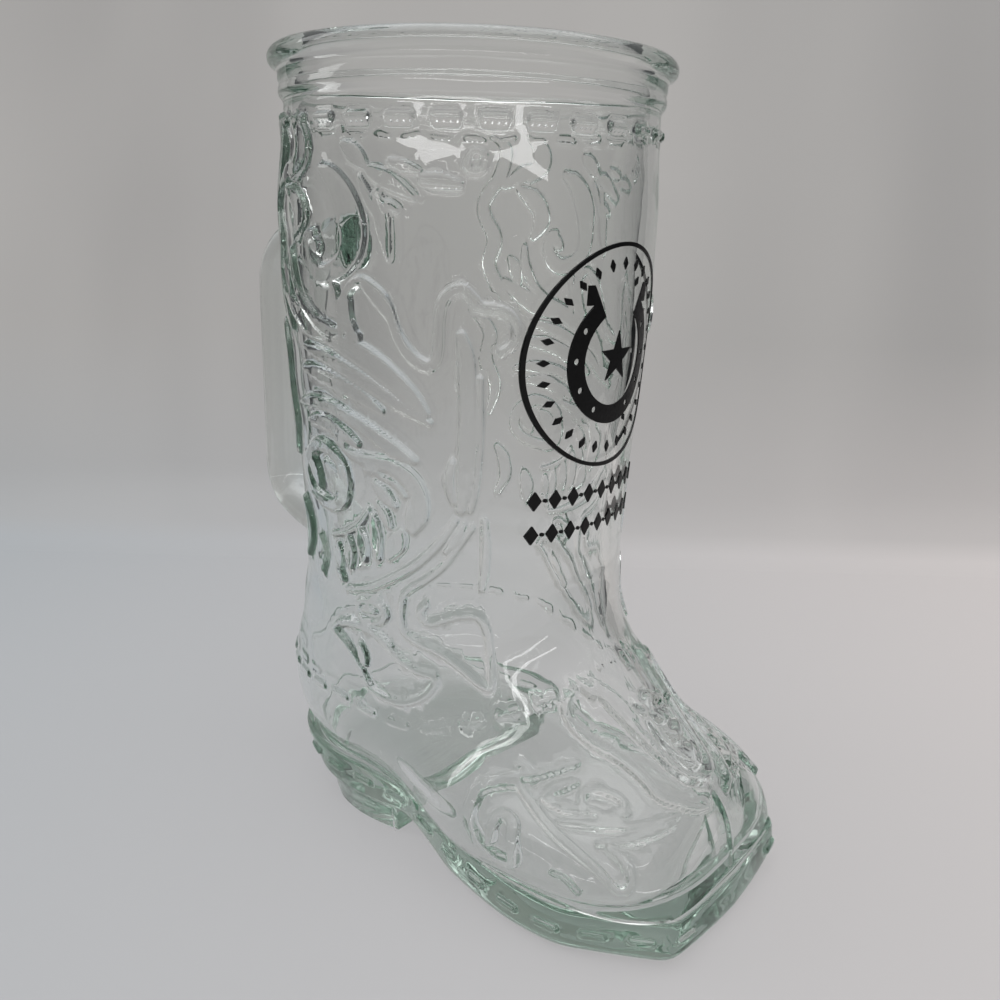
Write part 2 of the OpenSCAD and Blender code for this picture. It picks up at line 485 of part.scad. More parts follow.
plume_shares = [
    [[93, 0.538, 0.7], [86, 0.53, 1.9], [78, 0.509, 2.3], [71, 0.477, 2], [65, 0.442, 1.5],
     [60.5, 0.406, 0.5]],
    [[104, 0.514, 0.7], [95, 0.503, 1.4], [86, 0.485, 1.5], [78, 0.461, 1.5], [70.5, 0.43, 1.3],
     [64, 0.406, 0.9], [59.6, 0.387, 0.4]],
    [[106, 0.467, 0.7], [97, 0.462, 1.7], [88, 0.449, 1.8], [80, 0.43, 1.5], [74, 0.404, 0.5]],
    [[111, 0.385, 0.5], [102, 0.398, 1.2], [93, 0.396, 1.3], [85, 0.379, 1.3], [78, 0.358, 1.4],
     [70.5, 0.327, 1.5], [64.3, 0.306, 0.5]],
    [[105, 0.354, 0.6], [97, 0.361, 1.6], [89, 0.345, 1.5], [83, 0.326, 0.6]],
    [[89.6, 0.449, 0.8], [88.4, 0.441, 1.5], [87.4, 0.43, 0.8]],
    [[90.6, 0.338, 0.8], [89.4, 0.329, 1.5], [88.4, 0.32, 0.8]],
    [[88.4, 0.236, 1.4], [90, 0.274, 1.4], [95, 0.298, 1.3], [101, 0.302, 1.3], [107, 0.277, 1.4],
     [110.4, 0.236, 1.5], [108, 0.198, 1.4], [101.5, 0.177, 1.3], [94.5, 0.175, 1.3],
     [90, 0.196, 1.4], [88.4, 0.236, 1.4]],
    [[107, 0.274, 0.6], [104.5, 0.245, 1.9], [102, 0.211, 0.7]],
    [[97.5, 0.268, 0.8], [94, 0.24, 2.4], [93.5, 0.208, 0.9]],
    [[88, 0.308, 0.6], [80, 0.294, 1.3], [71.5, 0.289, 1.6], [65.6, 0.264, 1.8], [62.8, 0.226, 1.7],
     [62.6, 0.185, 1.4], [65, 0.151, 0.6]],
    [[80, 0.274, 0.5], [77.5, 0.274, 0.9], [75, 0.269, 0.5]],
    [[76.8, 0.248, 0.7], [74, 0.226, 1.4], [70.7, 0.203, 0.5]],
    [[76.1, 0.208, 0.5], [74.2, 0.181, 1.1], [72.4, 0.155, 0.5]],
    [[75.5, 0.264, 0.4], [70.5, 0.255, 0.7], [67.4, 0.228, 0.4]],
    [[65.1, 0.221, 0.4], [65.6, 0.189, 0.8], [66.4, 0.157, 0.4]],
    [[68.6, 0.147, 0.7], [70.6, 0.118, 2], [73, 0.085, 0.7]],
    [[78, 0.17, 0.7], [77.4, 0.123, 1.3], [77.2, 0.079, 0.6]],
    [[83.6, 0.135, 0.6], [82.8, 0.102, 1.4], [82.4, 0.068, 0.6]],
    [[88.8, 0.106, 0.6], [88.5, 0.075, 1.4], [88.2, 0.043, 0.6]],
    [[94, 0.084, 0.6], [93.5, 0.06, 1.3], [93, 0.036, 0.6]],
    [[94.4, 0.026, 0.5], [93, 0.015, 0.9], [91.6, 0.006, 0.5]],
    [[104.4, 0.085, 0.6], [103.4, 0.047, 1.7], [103.6, 0.009, 0.7]],
    [[96.5, 0.104, 0.4], [89.5, 0.122, 0.6], [84, 0.147, 0.6], [80, 0.183, 0.4]],
    [[90, -0.014, 0.5], [80, 0.006, 0.7], [72, 0.038, 0.7], [65, 0.071, 0.7], [60, 0.104, 0.7],
     [56, 0.137, 0.7], [52, 0.179, 0.5]],
    [[68.2, 0.003, 0.4], [65.5, 0.021, 0.5], [60, 0.049, 0.5], [55, 0.082, 0.5], [50.6, 0.128, 0.5],
     [47, 0.165, 0.4]],
    [[54.5, 0.111, 0.4], [51.7, 0.142, 0.9], [49.4, 0.172, 0.4]]
];
module near_plume() { color(relief_glass) shaft_strokes(plume_shares); }
module far_plume() { mirrored(true) near_plume(); }

ankle_relief_shares = [
    [[96, 0.9, 0.6], [96, 0.94, 0.6], [100, 0.957, 0.6], [104.5, 0.95, 0.6], [106, 0.92, 0.6],
     [104, 0.885, 0.6], [99, 0.878, 0.6], [96, 0.9, 0.6]],
    [[98, 0.915, 0.4], [100.2, 0.925, 0.9], [102.2, 0.92, 0.4]],
    [[84, 0.79, 0.5], [88, 0.83, 0.7], [94, 0.847, 0.7], [100, 0.85, 0.7], [106, 0.832, 0.7],
     [111, 0.79, 0.7], [115, 0.772, 0.6], [120, 0.77, 0.5], [118, 0.73, 0.6], [113.5, 0.678, 0.7],
     [108, 0.637, 0.7], [102, 0.626, 0.7], [98.8, 0.645, 0.7], [96.6, 0.69, 0.7],
     [92.5, 0.742, 0.6], [84, 0.79, 0.4]],
    [[97.6, 0.785, 0.4], [98.6, 0.75, 0.9], [99, 0.715, 0.4]],
    [[111.5, 0.99, 0.5], [111, 0.93, 0.6], [112.6, 0.884, 0.6], [117, 0.86, 0.6], [123, 0.845, 0.6],
     [128, 0.81, 0.6], [131.4, 0.772, 0.6], [133.6, 0.772, 0.6], [136, 0.83, 0.6], [137, 0.9, 0.6],
     [135.6, 0.95, 0.6], [132, 0.966, 0.6], [126, 0.952, 0.6], [120, 0.93, 0.6],
     [117.2, 0.955, 0.6], [119, 0.985, 0.5]]
];
module near_ankle_relief() { color(relief_glass) foot_strokes(ankle_relief_shares); }
module far_ankle_relief() { mirrored(true) near_ankle_relief(); }

foot_scroll_shares = [
    [[129.5, 0.485, 0.6], [125, 0.475, 1], [120.5, 0.445, 1.2], [116.5, 0.39, 1.3],
     [112.5, 0.33, 1.3], [108.5, 0.265, 1.3], [105.5, 0.205, 1.3], [104.2, 0.158, 1.2],
     [106.3, 0.134, 1.1], [110, 0.152, 1.1], [114, 0.203, 1.1], [118, 0.265, 1.1],
     [121.4, 0.322, 1.1], [122, 0.358, 1], [119.5, 0.347, 1], [115.5, 0.294, 1],
     [111.5, 0.238, 0.9], [109, 0.21, 0.5]],
    [[129.3, 0.492, 0.5], [129.8, 0.43, 0.8], [130, 0.37, 0.8], [131, 0.31, 0.8],
     [133.5, 0.25, 0.7], [136, 0.2, 0.6], [137.7, 0.15, 0.4]],
    [[124, 0.487, 0.4], [129, 0.507, 0.7], [134, 0.522, 0.7], [139, 0.545, 0.6], [144, 0.566, 0.4]],
    [[130.6, 0.53, 0.4], [131.8, 0.547, 0.5], [133, 0.535, 0.4]]
];
module near_foot_scroll() { color(relief_glass) foot_strokes(foot_scroll_shares); }
module far_foot_scroll() { mirrored(true) near_foot_scroll(); }

foot_leaves_shares = [
    [[133, 0.447, 0.5], [136.5, 0.482, 1.1], [141.5, 0.507, 0.5]],
    [[140, 0.43, 0.6], [142, 0.474, 0.6], [146, 0.486, 0.6], [149.5, 0.457, 0.6],
     [148.5, 0.425, 0.6], [144, 0.408, 0.6], [140, 0.43, 0.6]],
    [[133.6, 0.44, 0.6], [137, 0.422, 1.2], [140, 0.412, 0.5]],
    [[141, 0.38, 0.4], [145.5, 0.396, 0.9], [149.6, 0.416, 0.4]],
    [[133, 0.37, 0.5], [139.5, 0.374, 0.9], [147, 0.368, 0.9], [154.5, 0.374, 0.8],
     [162, 0.392, 0.4]],
    [[139.5, 0.303, 0.5], [146.5, 0.32, 1], [153, 0.34, 1], [160, 0.362, 0.4]],
    [[141.4, 0.285, 0.5], [143.6, 0.25, 0.8], [144, 0.205, 0.4]],
    [[136.6, 0.175, 0.4], [139, 0.14, 0.5], [143, 0.15, 0.5], [145.2, 0.2, 0.5], [145, 0.265, 0.4]],
    [[120, 0.155, 0.4], [122, 0.135, 0.8], [123.4, 0.1, 0.4]]
];
module near_foot_leaves() { color(relief_glass) foot_strokes(foot_leaves_shares); }
module far_foot_leaves() { mirrored(true) near_foot_leaves(); }

toe_seam_shares = [[[180, 0.02, 0.3], [180, 0.14, 0.35], [180, 0.28, 0.35], [180, 0.42, 0.3]]];
module toe_seam() { color(relief_glass) foot_strokes(toe_seam_shares); }

tongue_panel_shares = [
    [[158, 0.77, 0.4], [152.5, 0.747, 0.7], [148.6, 0.71, 0.8], [148, 0.665, 0.8], [150, 0.62, 0.8],
     [154, 0.578, 0.8], [157, 0.52, 0.8], [158.8, 0.462, 0.8], [163, 0.43, 0.8], [168, 0.402, 0.7],
     [172.5, 0.395, 0.4]],
    [[161.5, 0.775, 0.5], [161.2, 0.72, 0.9], [163, 0.66, 0.9], [165, 0.6, 0.9], [167.5, 0.54, 0.9],
     [170.5, 0.502, 0.9], [175, 0.487, 0.9], [181, 0.485, 0.9]],
    [[161.2, 0.765, 0.6], [163.6, 0.72, 1.3], [165.6, 0.675, 0.6]],
    [[157, 0.768, 0.6], [158.4, 0.752, 1.3], [159.6, 0.736, 0.6]]
];
module tongue_panel() {
    color(relief_glass) for (far = [false, true]) mirrored(far) foot_strokes(tongue_panel_shares);
}

vamp_plaque_shares = [
    [[170, 0.7, 0.5], [172.6, 0.688, 0.9], [175.4, 0.7, 0.9], [181, 0.712, 0.9]],
    [[170.4, 0.655, 0.5], [170.6, 0.6, 0.6], [172.6, 0.556, 0.6], [176, 0.53, 0.6],
     [181, 0.522, 0.6]],
    [[173, 0.627, 0.5], [176.5, 0.612, 1], [181, 0.607, 1]],
    [[174.6, 0.665, 0.4], [177.4, 0.655, 0.8], [181, 0.658, 0.8]],
    [[175, 0.575, 0.4], [177.6, 0.562, 1], [181, 0.555, 1]]
];
module vamp_plaque() {
    color(relief_glass) for (far = [false, true]) mirrored(far) foot_strokes(vamp_plaque_shares);
}

// The print is a thin skin of enamel that follows the shaft
module ink_skin() {
    color(ink) rotate_extrude($fn = 96) polygon(concat(
        [for (z = shaft_levels()) [shaft_r(z) + ink_t, z]],
        [for (i = [shaft_rows:-1:0]) let (z = shaft_levels()[i]) [shaft_r(z) - ink_t, z]]));
}
// A flat drawing, seen from in front of the toe, pressed onto the shaft
module printed() {
    color(ink) intersection() {
        ink_skin();
        translate([0, 0, ring_z]) rotate([90, 0, 90]) linear_extrude(height = bead_d) children();
    }
}

module flat_ring(d, w) {
    difference() {
        circle(d = d, $fn = 96);
        circle(d = d - 2*w, $fn = 96);
    }
}
module print_ring() { printed() flat_ring(ring_d, ink_w); }
// A lozenge by its two diagonals
module lozenge(w, h) { polygon([[w/2, 0], [0, h/2], [-w/2, 0], [0, -h/2]]); }
bead_ring_r = ring_d*0.41;
bead_count = 28;
module print_beads() {
    printed() for (i = [0:bead_count - 1])
        rotate([0, 0, 360*i/bead_count]) translate([bead_ring_r, 0]) lozenge(3*ink_w, 1.7*ink_w);
}

// The horseshoe is a flat ring, open at the top, with two calks and a row of nail holes a side
shoe_r = ring_d*0.30;
shoe_w = ring_d*0.085;
shoe_gap = 35;
module calk(side) {
    translate([side*shoe_r*sin(shoe_gap)*1.02, shoe_r*0.93]) square([shoe_w*1.2, shoe_w], center = true);
}
module shoe_mouth() {
    half = 2*shoe_r*sin(shoe_gap)*0.86;
    top = 2*shoe_r*cos(shoe_gap);
    polygon([[0, 0], [-half, top], [half, top]]);
}
module nail_hole(angle) {
    rotate([0, 0, angle]) translate([shoe_r - shoe_w/2, 0]) circle(r = shoe_w*0.17, $fn = 16);
}
module print_horseshoe() {
    printed() difference() {
        union() {
            flat_ring(2*shoe_r, shoe_w);
            for (side = [-1, 1]) calk(side);
        }
        shoe_mouth();
        for (side = [-1, 1]) for (a = [-60:30:30]) nail_hole(90 - side*(90 - a));
    }
}

star_r = ring_d*0.12;
module print_star() {
    printed() polygon([for (i = [0:9])
        let (r = i%2 == 0 ? star_r : star_r*0.4)
        [r*sin(36*i), r*cos(36*i)]]);
}

// Two rows of lozenges with dots between them, under the ring
border_len = ring_d*0.78;
border_drop = ring_d*0.62;
border_pitch = border_len/8;
border_h = 5*ink_w;
module print_borders() {
    printed() for (row = [0, 1]) translate([0, -border_drop - 1.8*border_h*row]) {
        for (i = [-4:4]) translate([i*border_pitch, 0]) lozenge(0.62*border_pitch, border_h);
        for (i = [-4:3]) translate([(i + 0.5)*border_pitch, 0]) circle(d = ink_w, $fn = 16);
    }
}

rim_bead();
collar();
shaft();
foot_upper();
sole();
heel();
handle();
collar_stitches();
ankle_stitches();
welt_stitches();
toe_seam();
near_back_stem();
near_scroll();
near_leaves();
near_yoke_line();
near_plume();
near_ankle_relief();
near_foot_scroll();
near_foot_leaves();
far_back_stem();
far_scroll();
far_leaves();
far_yoke_line();
far_plume();
far_ankle_relief();
far_foot_scroll();
far_foot_leaves();
tongue_panel();
vamp_plaque();
print_ring();
print_beads();
print_horseshoe();
print_star();
print_borders();
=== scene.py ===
import math

import bmesh
import bpy
import numpy as np
from bpy.props import FloatProperty, FloatVectorProperty, IntProperty, PointerProperty
from mathutils import Matrix, Vector, kdtree, noise


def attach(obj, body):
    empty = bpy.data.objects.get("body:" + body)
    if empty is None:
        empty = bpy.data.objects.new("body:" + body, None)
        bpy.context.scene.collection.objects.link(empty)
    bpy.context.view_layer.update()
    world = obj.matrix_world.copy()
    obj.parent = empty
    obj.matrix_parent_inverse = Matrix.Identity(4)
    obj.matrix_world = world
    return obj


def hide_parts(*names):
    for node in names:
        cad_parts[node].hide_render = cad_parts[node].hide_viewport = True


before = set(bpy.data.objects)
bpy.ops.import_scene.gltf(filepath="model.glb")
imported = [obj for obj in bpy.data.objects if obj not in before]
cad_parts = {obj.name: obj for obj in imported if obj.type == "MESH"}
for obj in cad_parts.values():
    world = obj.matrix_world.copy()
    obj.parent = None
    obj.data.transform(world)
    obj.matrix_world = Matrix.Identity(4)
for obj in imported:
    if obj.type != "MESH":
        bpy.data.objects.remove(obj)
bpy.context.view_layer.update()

bl_info = {
    "name": "Pressed Glass Boot",
    "version": (1, 0, 0),
    "blender": (4, 5, 0),
    "location": "View3D > Sidebar > Glass Boot",
    "description": "Dresses the frame of a pressed-glass drinking boot",
    "category": "Add Mesh",
}

# The glass is one melt: these regions of the frame become one closed skin
GLASS_REGIONS = ["rim_bead", "collar", "shaft", "foot_upper", "sole", "heel", "handle"]
STITCH_REGIONS = ["collar_stitches", "ankle_stitches", "welt_stitches", "toe_seam"]
SHAFT_RELIEF = ["back_stem", "scroll", "leaves", "yoke_line", "plume"]
FOOT_RELIEF = ["ankle_relief", "foot_scroll", "foot_leaves"]
VAMP_RELIEF = ["tongue_panel", "vamp_plaque"]
PRINTS = ["print_ring", "print_beads", "print_horseshoe", "print_star", "print_borders"]

# Lip, bead and collar: [share of the bead's radius, drop as a share of bead and collar]
LIP_SHARES = [
    (0.864, 0.317), (0.867, 0.200), (0.879, 0.100), (0.898, 0.033), (0.921, 0.004), (0.949, 0),
    (0.972, 0.021), (0.989, 0.075), (0.999, 0.150), (1.000, 0.217), (0.996, 0.283), (0.983, 0.342),
    (0.966, 0.379), (0.957, 0.417), (0.954, 0.475), (0.953, 0.583), (0.948, 0.633), (0.948, 0.675),
    (0.953, 0.725), (0.953, 0.800), (0.948, 0.858), (0.938, 0.908), (0.932, 0.950), (0.929, 1),
]
# Shaft: growth from the ankle's radius to the widest, by share of its height
SHAFT_SHARES = [
    (0, 0), (0.08, -0.02), (0.17, 0.12), (0.26, 0.29), (0.36, 0.47), (0.45, 0.65),
    (0.55, 0.82), (0.68, 0.97), (0.80, 1.00), (0.87, 0.90), (0.92, 0.80), (1, 0.72),
]
# Foot: rows from the feather edge to the ankle
ROW_SHARES = [0, 0.12, 0.25, 0.40, 0.55, 0.70, 0.85, 1]
BACK_Z_SHARES = [0, 0.10, 0.21, 0.35, 0.50, 0.65, 0.83, 1]
FRONT_Z_SHARES = [0, 0.10, 0.19, 0.275, 0.40, 0.57, 0.77, 1]
TOE_SHARES = [0.955, 0.938, 0.908, 0.837, 0.663, 0.40, 0.11, 0]
BACK_SHARES = [0.40, 0.74, 0.97, 1.00, 0.83, 0.48, 0.17, 0]
SIDE_SHARES = [0.955, 1.03, 1.08, 1.10, 1.10, 1.08, 1.07, 1]
MIDDLE_SHARES = [0.24, 0.165, 0.115, 0.07, 0.035, 0.01, 0, 0]
FRONT_POWER_SHARES = [4.8, 3.7, 2.6, 1.85, 1.55, 1.55, 1.7, 2]
BACK_POWER_SHARES = [2.5, 2.4, 2.3, 2.2, 2.1, 2, 2, 2]
WAIST_SHARES = [0.11, 0.08, 0.05, 0.02, 0, 0, 0, 0]
# Thickness of the glass in front of the cavity, as shares of the wall
CAVITY_FRONT_SHARES = [1.25, 1.2, 1.2, 1.15, 1.1, 1.05, 1, 1]
# Floor of the cavity: [share of the lowest ring's reach, sink as a share of the sole's thickness]
CAVITY_FLOOR_SHARES = [
    (0.985, 0.14), (0.955, 0.25), (0.90, 0.33), (0.80, 0.37), (0.6, 0.38), (0.35, 0.38), (0.08, 0.38),
]
# Sole: half of its outline from the heel to the toe
OUTLINE_SHARES = [
    (-1, 0), (-0.96, 0.36), (-0.82, 0.67), (-0.58, 0.875), (-0.28, 0.95), (0, 0.93),
    (0.115, 0.875), (0.23, 0.875), (0.35, 0.92), (0.49, 0.98), (0.60, 1.0), (0.72, 0.97),
    (0.815, 0.865), (0.885, 0.775), (0.940, 0.70), (0.966, 0.65), (0.977, 0.59), (0.985, 0.46),
    (0.994, 0.25), (1, 0),
]
# Side of the sole: [share of its thickness, inset at the heel, inset at the ball]
SOLE_SIDE_SHARES = [
    (0, 0.10, 0.075), (0.20, 0.08, 0.012), (0.55, 0.05, 0), (0.85, 0.02, 0.004), (1, 0.012, 0.02),
]
ANKLE_ROW_SHARES = [
    (0, 0.47), (60, 0.46), (90, 0.50), (108, 0.56), (127, 0.665), (145, 0.73), (165, 0.79), (180, 0.81),
]
# Handle: middle of the bar from its upper root to its lower one, as shares of the toe's reach
HANDLE_PATH_SHARES = [
    (-0.544, 1.709), (-0.616, 1.709), (-0.703, 1.709), (-0.762, 1.698), (-0.810, 1.665), (-0.843, 1.616),
    (-0.855, 1.558), (-0.855, 1.419), (-0.855, 1.279), (-0.855, 1.140), (-0.855, 1.000), (-0.855, 0.942),
    (-0.846, 0.885), (-0.812, 0.832), (-0.755, 0.800), (-0.686, 0.775), (-0.605, 0.745), (-0.530, 0.718),
]
SAMPLES_PER_SPAN = 12
OUTLINE_SAMPLES = 900
CIRCLE_SAMPLES = 721
FOOT_SAMPLES = 2401
STITCH_ROW_SAMPLES = 1441
SHAFT_ROWS = 60
FOOT_ROWS = 30
# Points of the true surface for each point of the first grid, in both directions
FINER = 4
ORNAMENT_SHARE = 0.82
BACK_SPACING_SHARE = 1.6
SOLE_LEVEL_SHARES = [0.955, 0.89, 0.80, 0.70, 0.60, 0.50, 0.40, 0.30, 0.20, 0.12, 0.05]
LEDGE_SHARES = (0.25, 0.6, 1.0)
INNER_COLUMNS = 96
INNER_SHAFT_ROWS = 34
INNER_FOOT_ROWS = 22
HANDLE_COLUMNS = 44
# One ring of the handle for so many samples of its path
HANDLE_STEP = 4
HEEL_SEGMENTS = 3
# Far enough below the lip to lie on the shaft's plain side
SIDE_ROW = len(LIP_SHARES) + 10

# Shares of the toe's reach, from the axis
FALL_START_SHARE = -0.07
FALL_RUN_SHARE = 0.47
ARCH_START_SHARE = 0.06
ARCH_RUN_SHARE = 0.28
WAIST_PLACE_SHARE = 0.09
WAIST_SPREAD_SHARE = 0.19
# Where the foot's side starts to turn into the round ankle, by row, and over what run
ANKLE_START_SHARE = 0.85
ANKLE_RUN_SHARE = 0.15
# Reach of the sole behind the axis, as a share of the counter's
SOLE_BACK_SHARE = 0.925
# How much of the ball's inset is left at the toe
TOE_INSET_SHARE = 0.35
# Row of the cavity's lowest ring
CAVITY_FLOOR_SHARE = 0.03
# The foot's lower wall as a share of the plain one, and the row where it is plain again
LOW_WALL_SHARE = 0.75
LOW_WALL_TOP_SHARE = 0.5
# Flare of the handle where it meets the shaft
HANDLE_ROOT_SHARE = 1.05
HANDLE_FLARE_POWER = 3
HOLE_REACH_SHARE = 1.6
# Edges lower than this share of the heel's height belong to the bottom
HEEL_REACH_SHARE = 1.5
# How much the heel block narrows downwards, at its sides and at its back
HEEL_TAPER_SHARE = 0.03
HEEL_BACK_TAPER_SHARE = 0.09
# A face counts as flat when its normal points up or down by more than this
FLAT_SHARE = 0.9
WAVE_SCALE = 75.0
WAVE_STRETCH_SHARE = 0.6
# How far from a whole row and column a vertex of the first grid may seem to lie
PLACE_SLACK_SHARE = 0.05

# Stitches and raised lines
COLLAR_STITCHES = 29
ANKLE_STITCHES = 32
WELT_STITCHES = 13
# From the collar down to its stitches, as a share of a stitch's width
COLLAR_DROP_SHARE = 1.6
COLLAR_STITCH_RISE_SHARE = 0.9
ANKLE_STITCH_RISE_SHARE = 0.5
WELT_STITCH_RISE_SHARE = 0.75
WELT_LEVEL_SHARE = 0.55
WELT_END_SHARES = (0.12, 0.84)
TOE_SEAM_RISE_SHARE = 0.5
ANKLE_RISE_SHARE = 1.4
FOOT_RISE_SHARE = 1.4
# The thinnest line has this share of the full height, and wide ones are hollowed along the middle
NARROW_RISE_SHARE = 0.5
HOLLOW_FROM_SHARE = 1.4
HOLLOW_DEPTH_SHARE = 0.8

# Metres
WELD = 0.000001
FLAT_SLACK = 0.0001
# From the collar's lower edge up to the bore's first ring
BORE_RISE = 0.006
# The ledge between the foot's feather edge and the sole's side
LEDGE_INSET = 0.0004
LEDGE_DIPS = (0.0004, 0.0001, 0)
# The last rings, in from the sole's lower edge
RIM_INSETS = (0.0003, 0.0012)
HANDLE_ROOT_RUN = 0.016
HANDLE_HOLE = 0.0067
LOWER_HOLE_DROP = 0.0006
# How far from a raised line the faces are halved once, and from its edges again
LEVEL_MARGINS = (0.0009, 0.00062)
HEEL_STEP = 0.0006
HEEL_ROUNDING = 0.0008

# Glass and enamel
SURFACE_NAME = "Pressed Surface"
SURFACE_INPUTS = {"Wave Scale": 60.0, "Mark Scale": 420.0, "Smooth": 0.0, "Rough": 0.05}
WAVE_DETAIL = 1.5
MARK_DETAIL = 4.0
MARK_RANGE_SHARES = (0.45, 0.75)
GLASS_COLOUR = (0.99, 0.99, 0.99, 1)
GLASS_IOR = 1.5
GLASS_SURFACE = {"Smooth": 0.0, "Rough": 0.03}
GLASS_BUMP = {"Strength": 0.4, "Distance": 0.0006}
ENAMEL_SURFACE = {"Wave Scale": 900.0, "Mark Scale": 1600.0, "Smooth": 0.35, "Rough": 0.6}
ENAMEL_BUMP = {"Strength": 0.2, "Distance": 0.0002}
ENAMEL_LIGHT_SHARES = (3, 3, 3)
ENAMEL_SHINE_SHARE = 0.2

# Camera: place in metres, and turns in degrees: azimuth, pitch, roll and yaw
CAMERA_PLACE = (0.15903, -0.18294, 0.15682)
CAMERA_TURNS = (41.0, 16.811, 1.782, 2.143)
# Millimetres
CAMERA_LENS = 34.58
CAMERA_SENSOR = 36.0
# Metres
CAMERA_CLIP = 0.01
FLOOR_SIZE = 0.34
FLOOR_GAP = 0.0004
BACKDROP_REACH = 0.205
COVE_RADIUS = 0.03
BACKDROP_HALF_WIDTH = 0.29
BACKDROP_HEIGHT = 0.42
BACKDROP_GAP_SHARE = 0.8
BACKDROP_COLUMNS = 120
BACKDROP_ROWS = 90
FOLD_DEPTH = 0.02
# How fast the folds change across, how they lean, and how fast they change upwards
FOLD_RATES = (5.0, 1.5, 0.9)
FOLD_SEED = 8.3
# How the ground's colour gives way to the hanging part's, up to a height in metres
HORIZON_FADE = 0.12
HORIZON_STOPS = [(0.02, (0, 0, 0)), (0.08, (0.4, 0.4, 0.4)), (0.85, (1, 1, 1))]
# Painted light on the ground: darker and cooler to the camera's left, brighter and warmer to its right,
# over this reach either side in metres
GROUND_SHADE_REACH = 0.28
GROUND_SHADED_SHARES = (0.75, 0.82, 0.88)
GROUND_LIT_SHARES = (1.18, 1.13, 1.13)
# Painted fold shade and light on the hanging part: a noise that makes its colour darker and lighter in
# bands
FOLD_SHADE_SCALES = (7.0, 4.5, 2.2)
FOLD_SHADE_NOISE = {"Scale": 1.0, "Detail": 2.0, "Distortion": 0.4}
FOLD_SHADE_RANGE_SHARES = (0.3, 0.7)
FOLD_PAINTED_SHADE_SHARES = (0.88, 0.88, 0.89)
FOLD_PAINTED_LIGHT_SHARES = (1.12, 1.12, 1.12)
CLOTH_ROUGHNESS = 0.75
GLOW_SHARE = 0.7
# Lamps: name, place, aim, width, height, power
LAMPS = [
    ("top_softbox", (0.1, -0.2, 1.2), (0, 0, 0.1), 1.5, 1.5, 8.0),
    ("left_softbox", (-0.9, -0.6, 0.7), (0, 0, 0.1), 0.4, 0.7, 2.0),
    ("strip", (0.55, -0.63, 0.32), (0, 0, 0.18), 1.6, 0.032, 1.05),
]
# World: height of the direction and its colour
WORLD_STOPS = [(0.05, (0.055, 0.057, 0.06)), (0.45, (0.42, 0.42, 0.42)), (1, (0.95, 0.95, 0.95))]
WORLD_STRENGTH = 1.0
# Where the pale part of the room starts and is full, as cosines from the camera's side
ROOM_SPREAD_SHARES = (0.3, 0.7)
LIGHT_BOUNCES = 32

# Raised lines: (degrees from the toe, share of the shaft's height, width as a share of a plain line)
BACK_STEM_SHARES = [
    [(124, 0.972, 0.6), (118, 0.925, 1.6), (120, 0.858, 1.9), (126, 0.792, 1.4), (122, 0.726, 1.9),
     (124, 0.66, 1.6), (119, 0.594, 1.8), (113, 0.547, 0.6)],
    [(130, 0.547, 0.6), (124, 0.481, 1.8), (125, 0.406, 1.9), (121, 0.33, 1.6), (123, 0.255, 0.6)],
    [(118, 0.151, 0.6), (114, 0.113, 1.5), (113, 0.066, 1.4), (116, 0.019, 0.6)],
]
SCROLL_SHARES = [
    [(93, 0.868, 0.8), (88.5, 0.849, 1.9), (84.5, 0.816, 2.6), (82, 0.774, 3), (81.7, 0.731, 2.8),
     (84, 0.696, 2.2), (88.5, 0.674, 1.9), (93.5, 0.666, 1.9), (97.5, 0.681, 1.8), (99.6, 0.708, 1.7),
     (99, 0.736, 1.3), (96.5, 0.745, 0.7)],
    [(96.6, 0.732, 0.9), (95.8, 0.724, 1.4), (95, 0.715, 0.9)],
    [(108, 0.962, 0.7), (103.5, 0.929, 2.2), (103, 0.892, 2.5), (108, 0.854, 0.8)],
    [(112, 0.83, 0.7), (105.5, 0.807, 2), (103, 0.778, 2.2), (106.5, 0.736, 0.8)],
    [(110, 0.708, 0.6), (109.3, 0.67, 1), (107, 0.632, 1.1), (103.5, 0.604, 1.1), (98.5, 0.579, 1),
     (93, 0.564, 0.9), (88, 0.558, 0.5)],
    [(118, 0.623, 0.7), (110, 0.591, 2), (101, 0.558, 2), (92, 0.545, 1.2), (86, 0.547, 0.5)],
    [(116, 0.679, 0.6), (113.5, 0.656, 1.8), (112, 0.627, 0.8)],
    [(118, 0.835, 0.7), (111, 0.863, 1.7), (105, 0.88, 0.7)],
]
LEAVES_SHARES = [
    [(84.8, 0.91, 0.7), (81, 0.891, 1.7), (77.3, 0.869, 0.6)],
    [(75.5, 0.861, 1.1), (70.5, 0.845, 1.6), (64, 0.819, 0.5)],
    [(70.3, 0.879, 0.6), (66.7, 0.871, 1), (63, 0.864, 0.5)],
    [(61.2, 0.85, 0.9), (57, 0.849, 1.1), (52, 0.842, 0.4)],
    [(50.6, 0.879, 0.5), (48.8, 0.9, 0.5), (46, 0.892, 0.5), (46.4, 0.871, 0.5), (49, 0.866, 0.5),
     (50.6, 0.879, 0.5)],
    [(79, 0.849, 0.5), (76.6, 0.817, 0.9), (74.4, 0.789, 0.6)],
    [(74.2, 0.787, 0.5), (71.3, 0.802, 0.8), (68.2, 0.795, 0.5)],
    [(73.6, 0.825, 0.7), (72.3, 0.774, 1.5), (70.6, 0.706, 0.4)],
    [(89.8, 0.657, 0.5), (88.4, 0.636, 0.8), (87.4, 0.604, 0.4)],
]
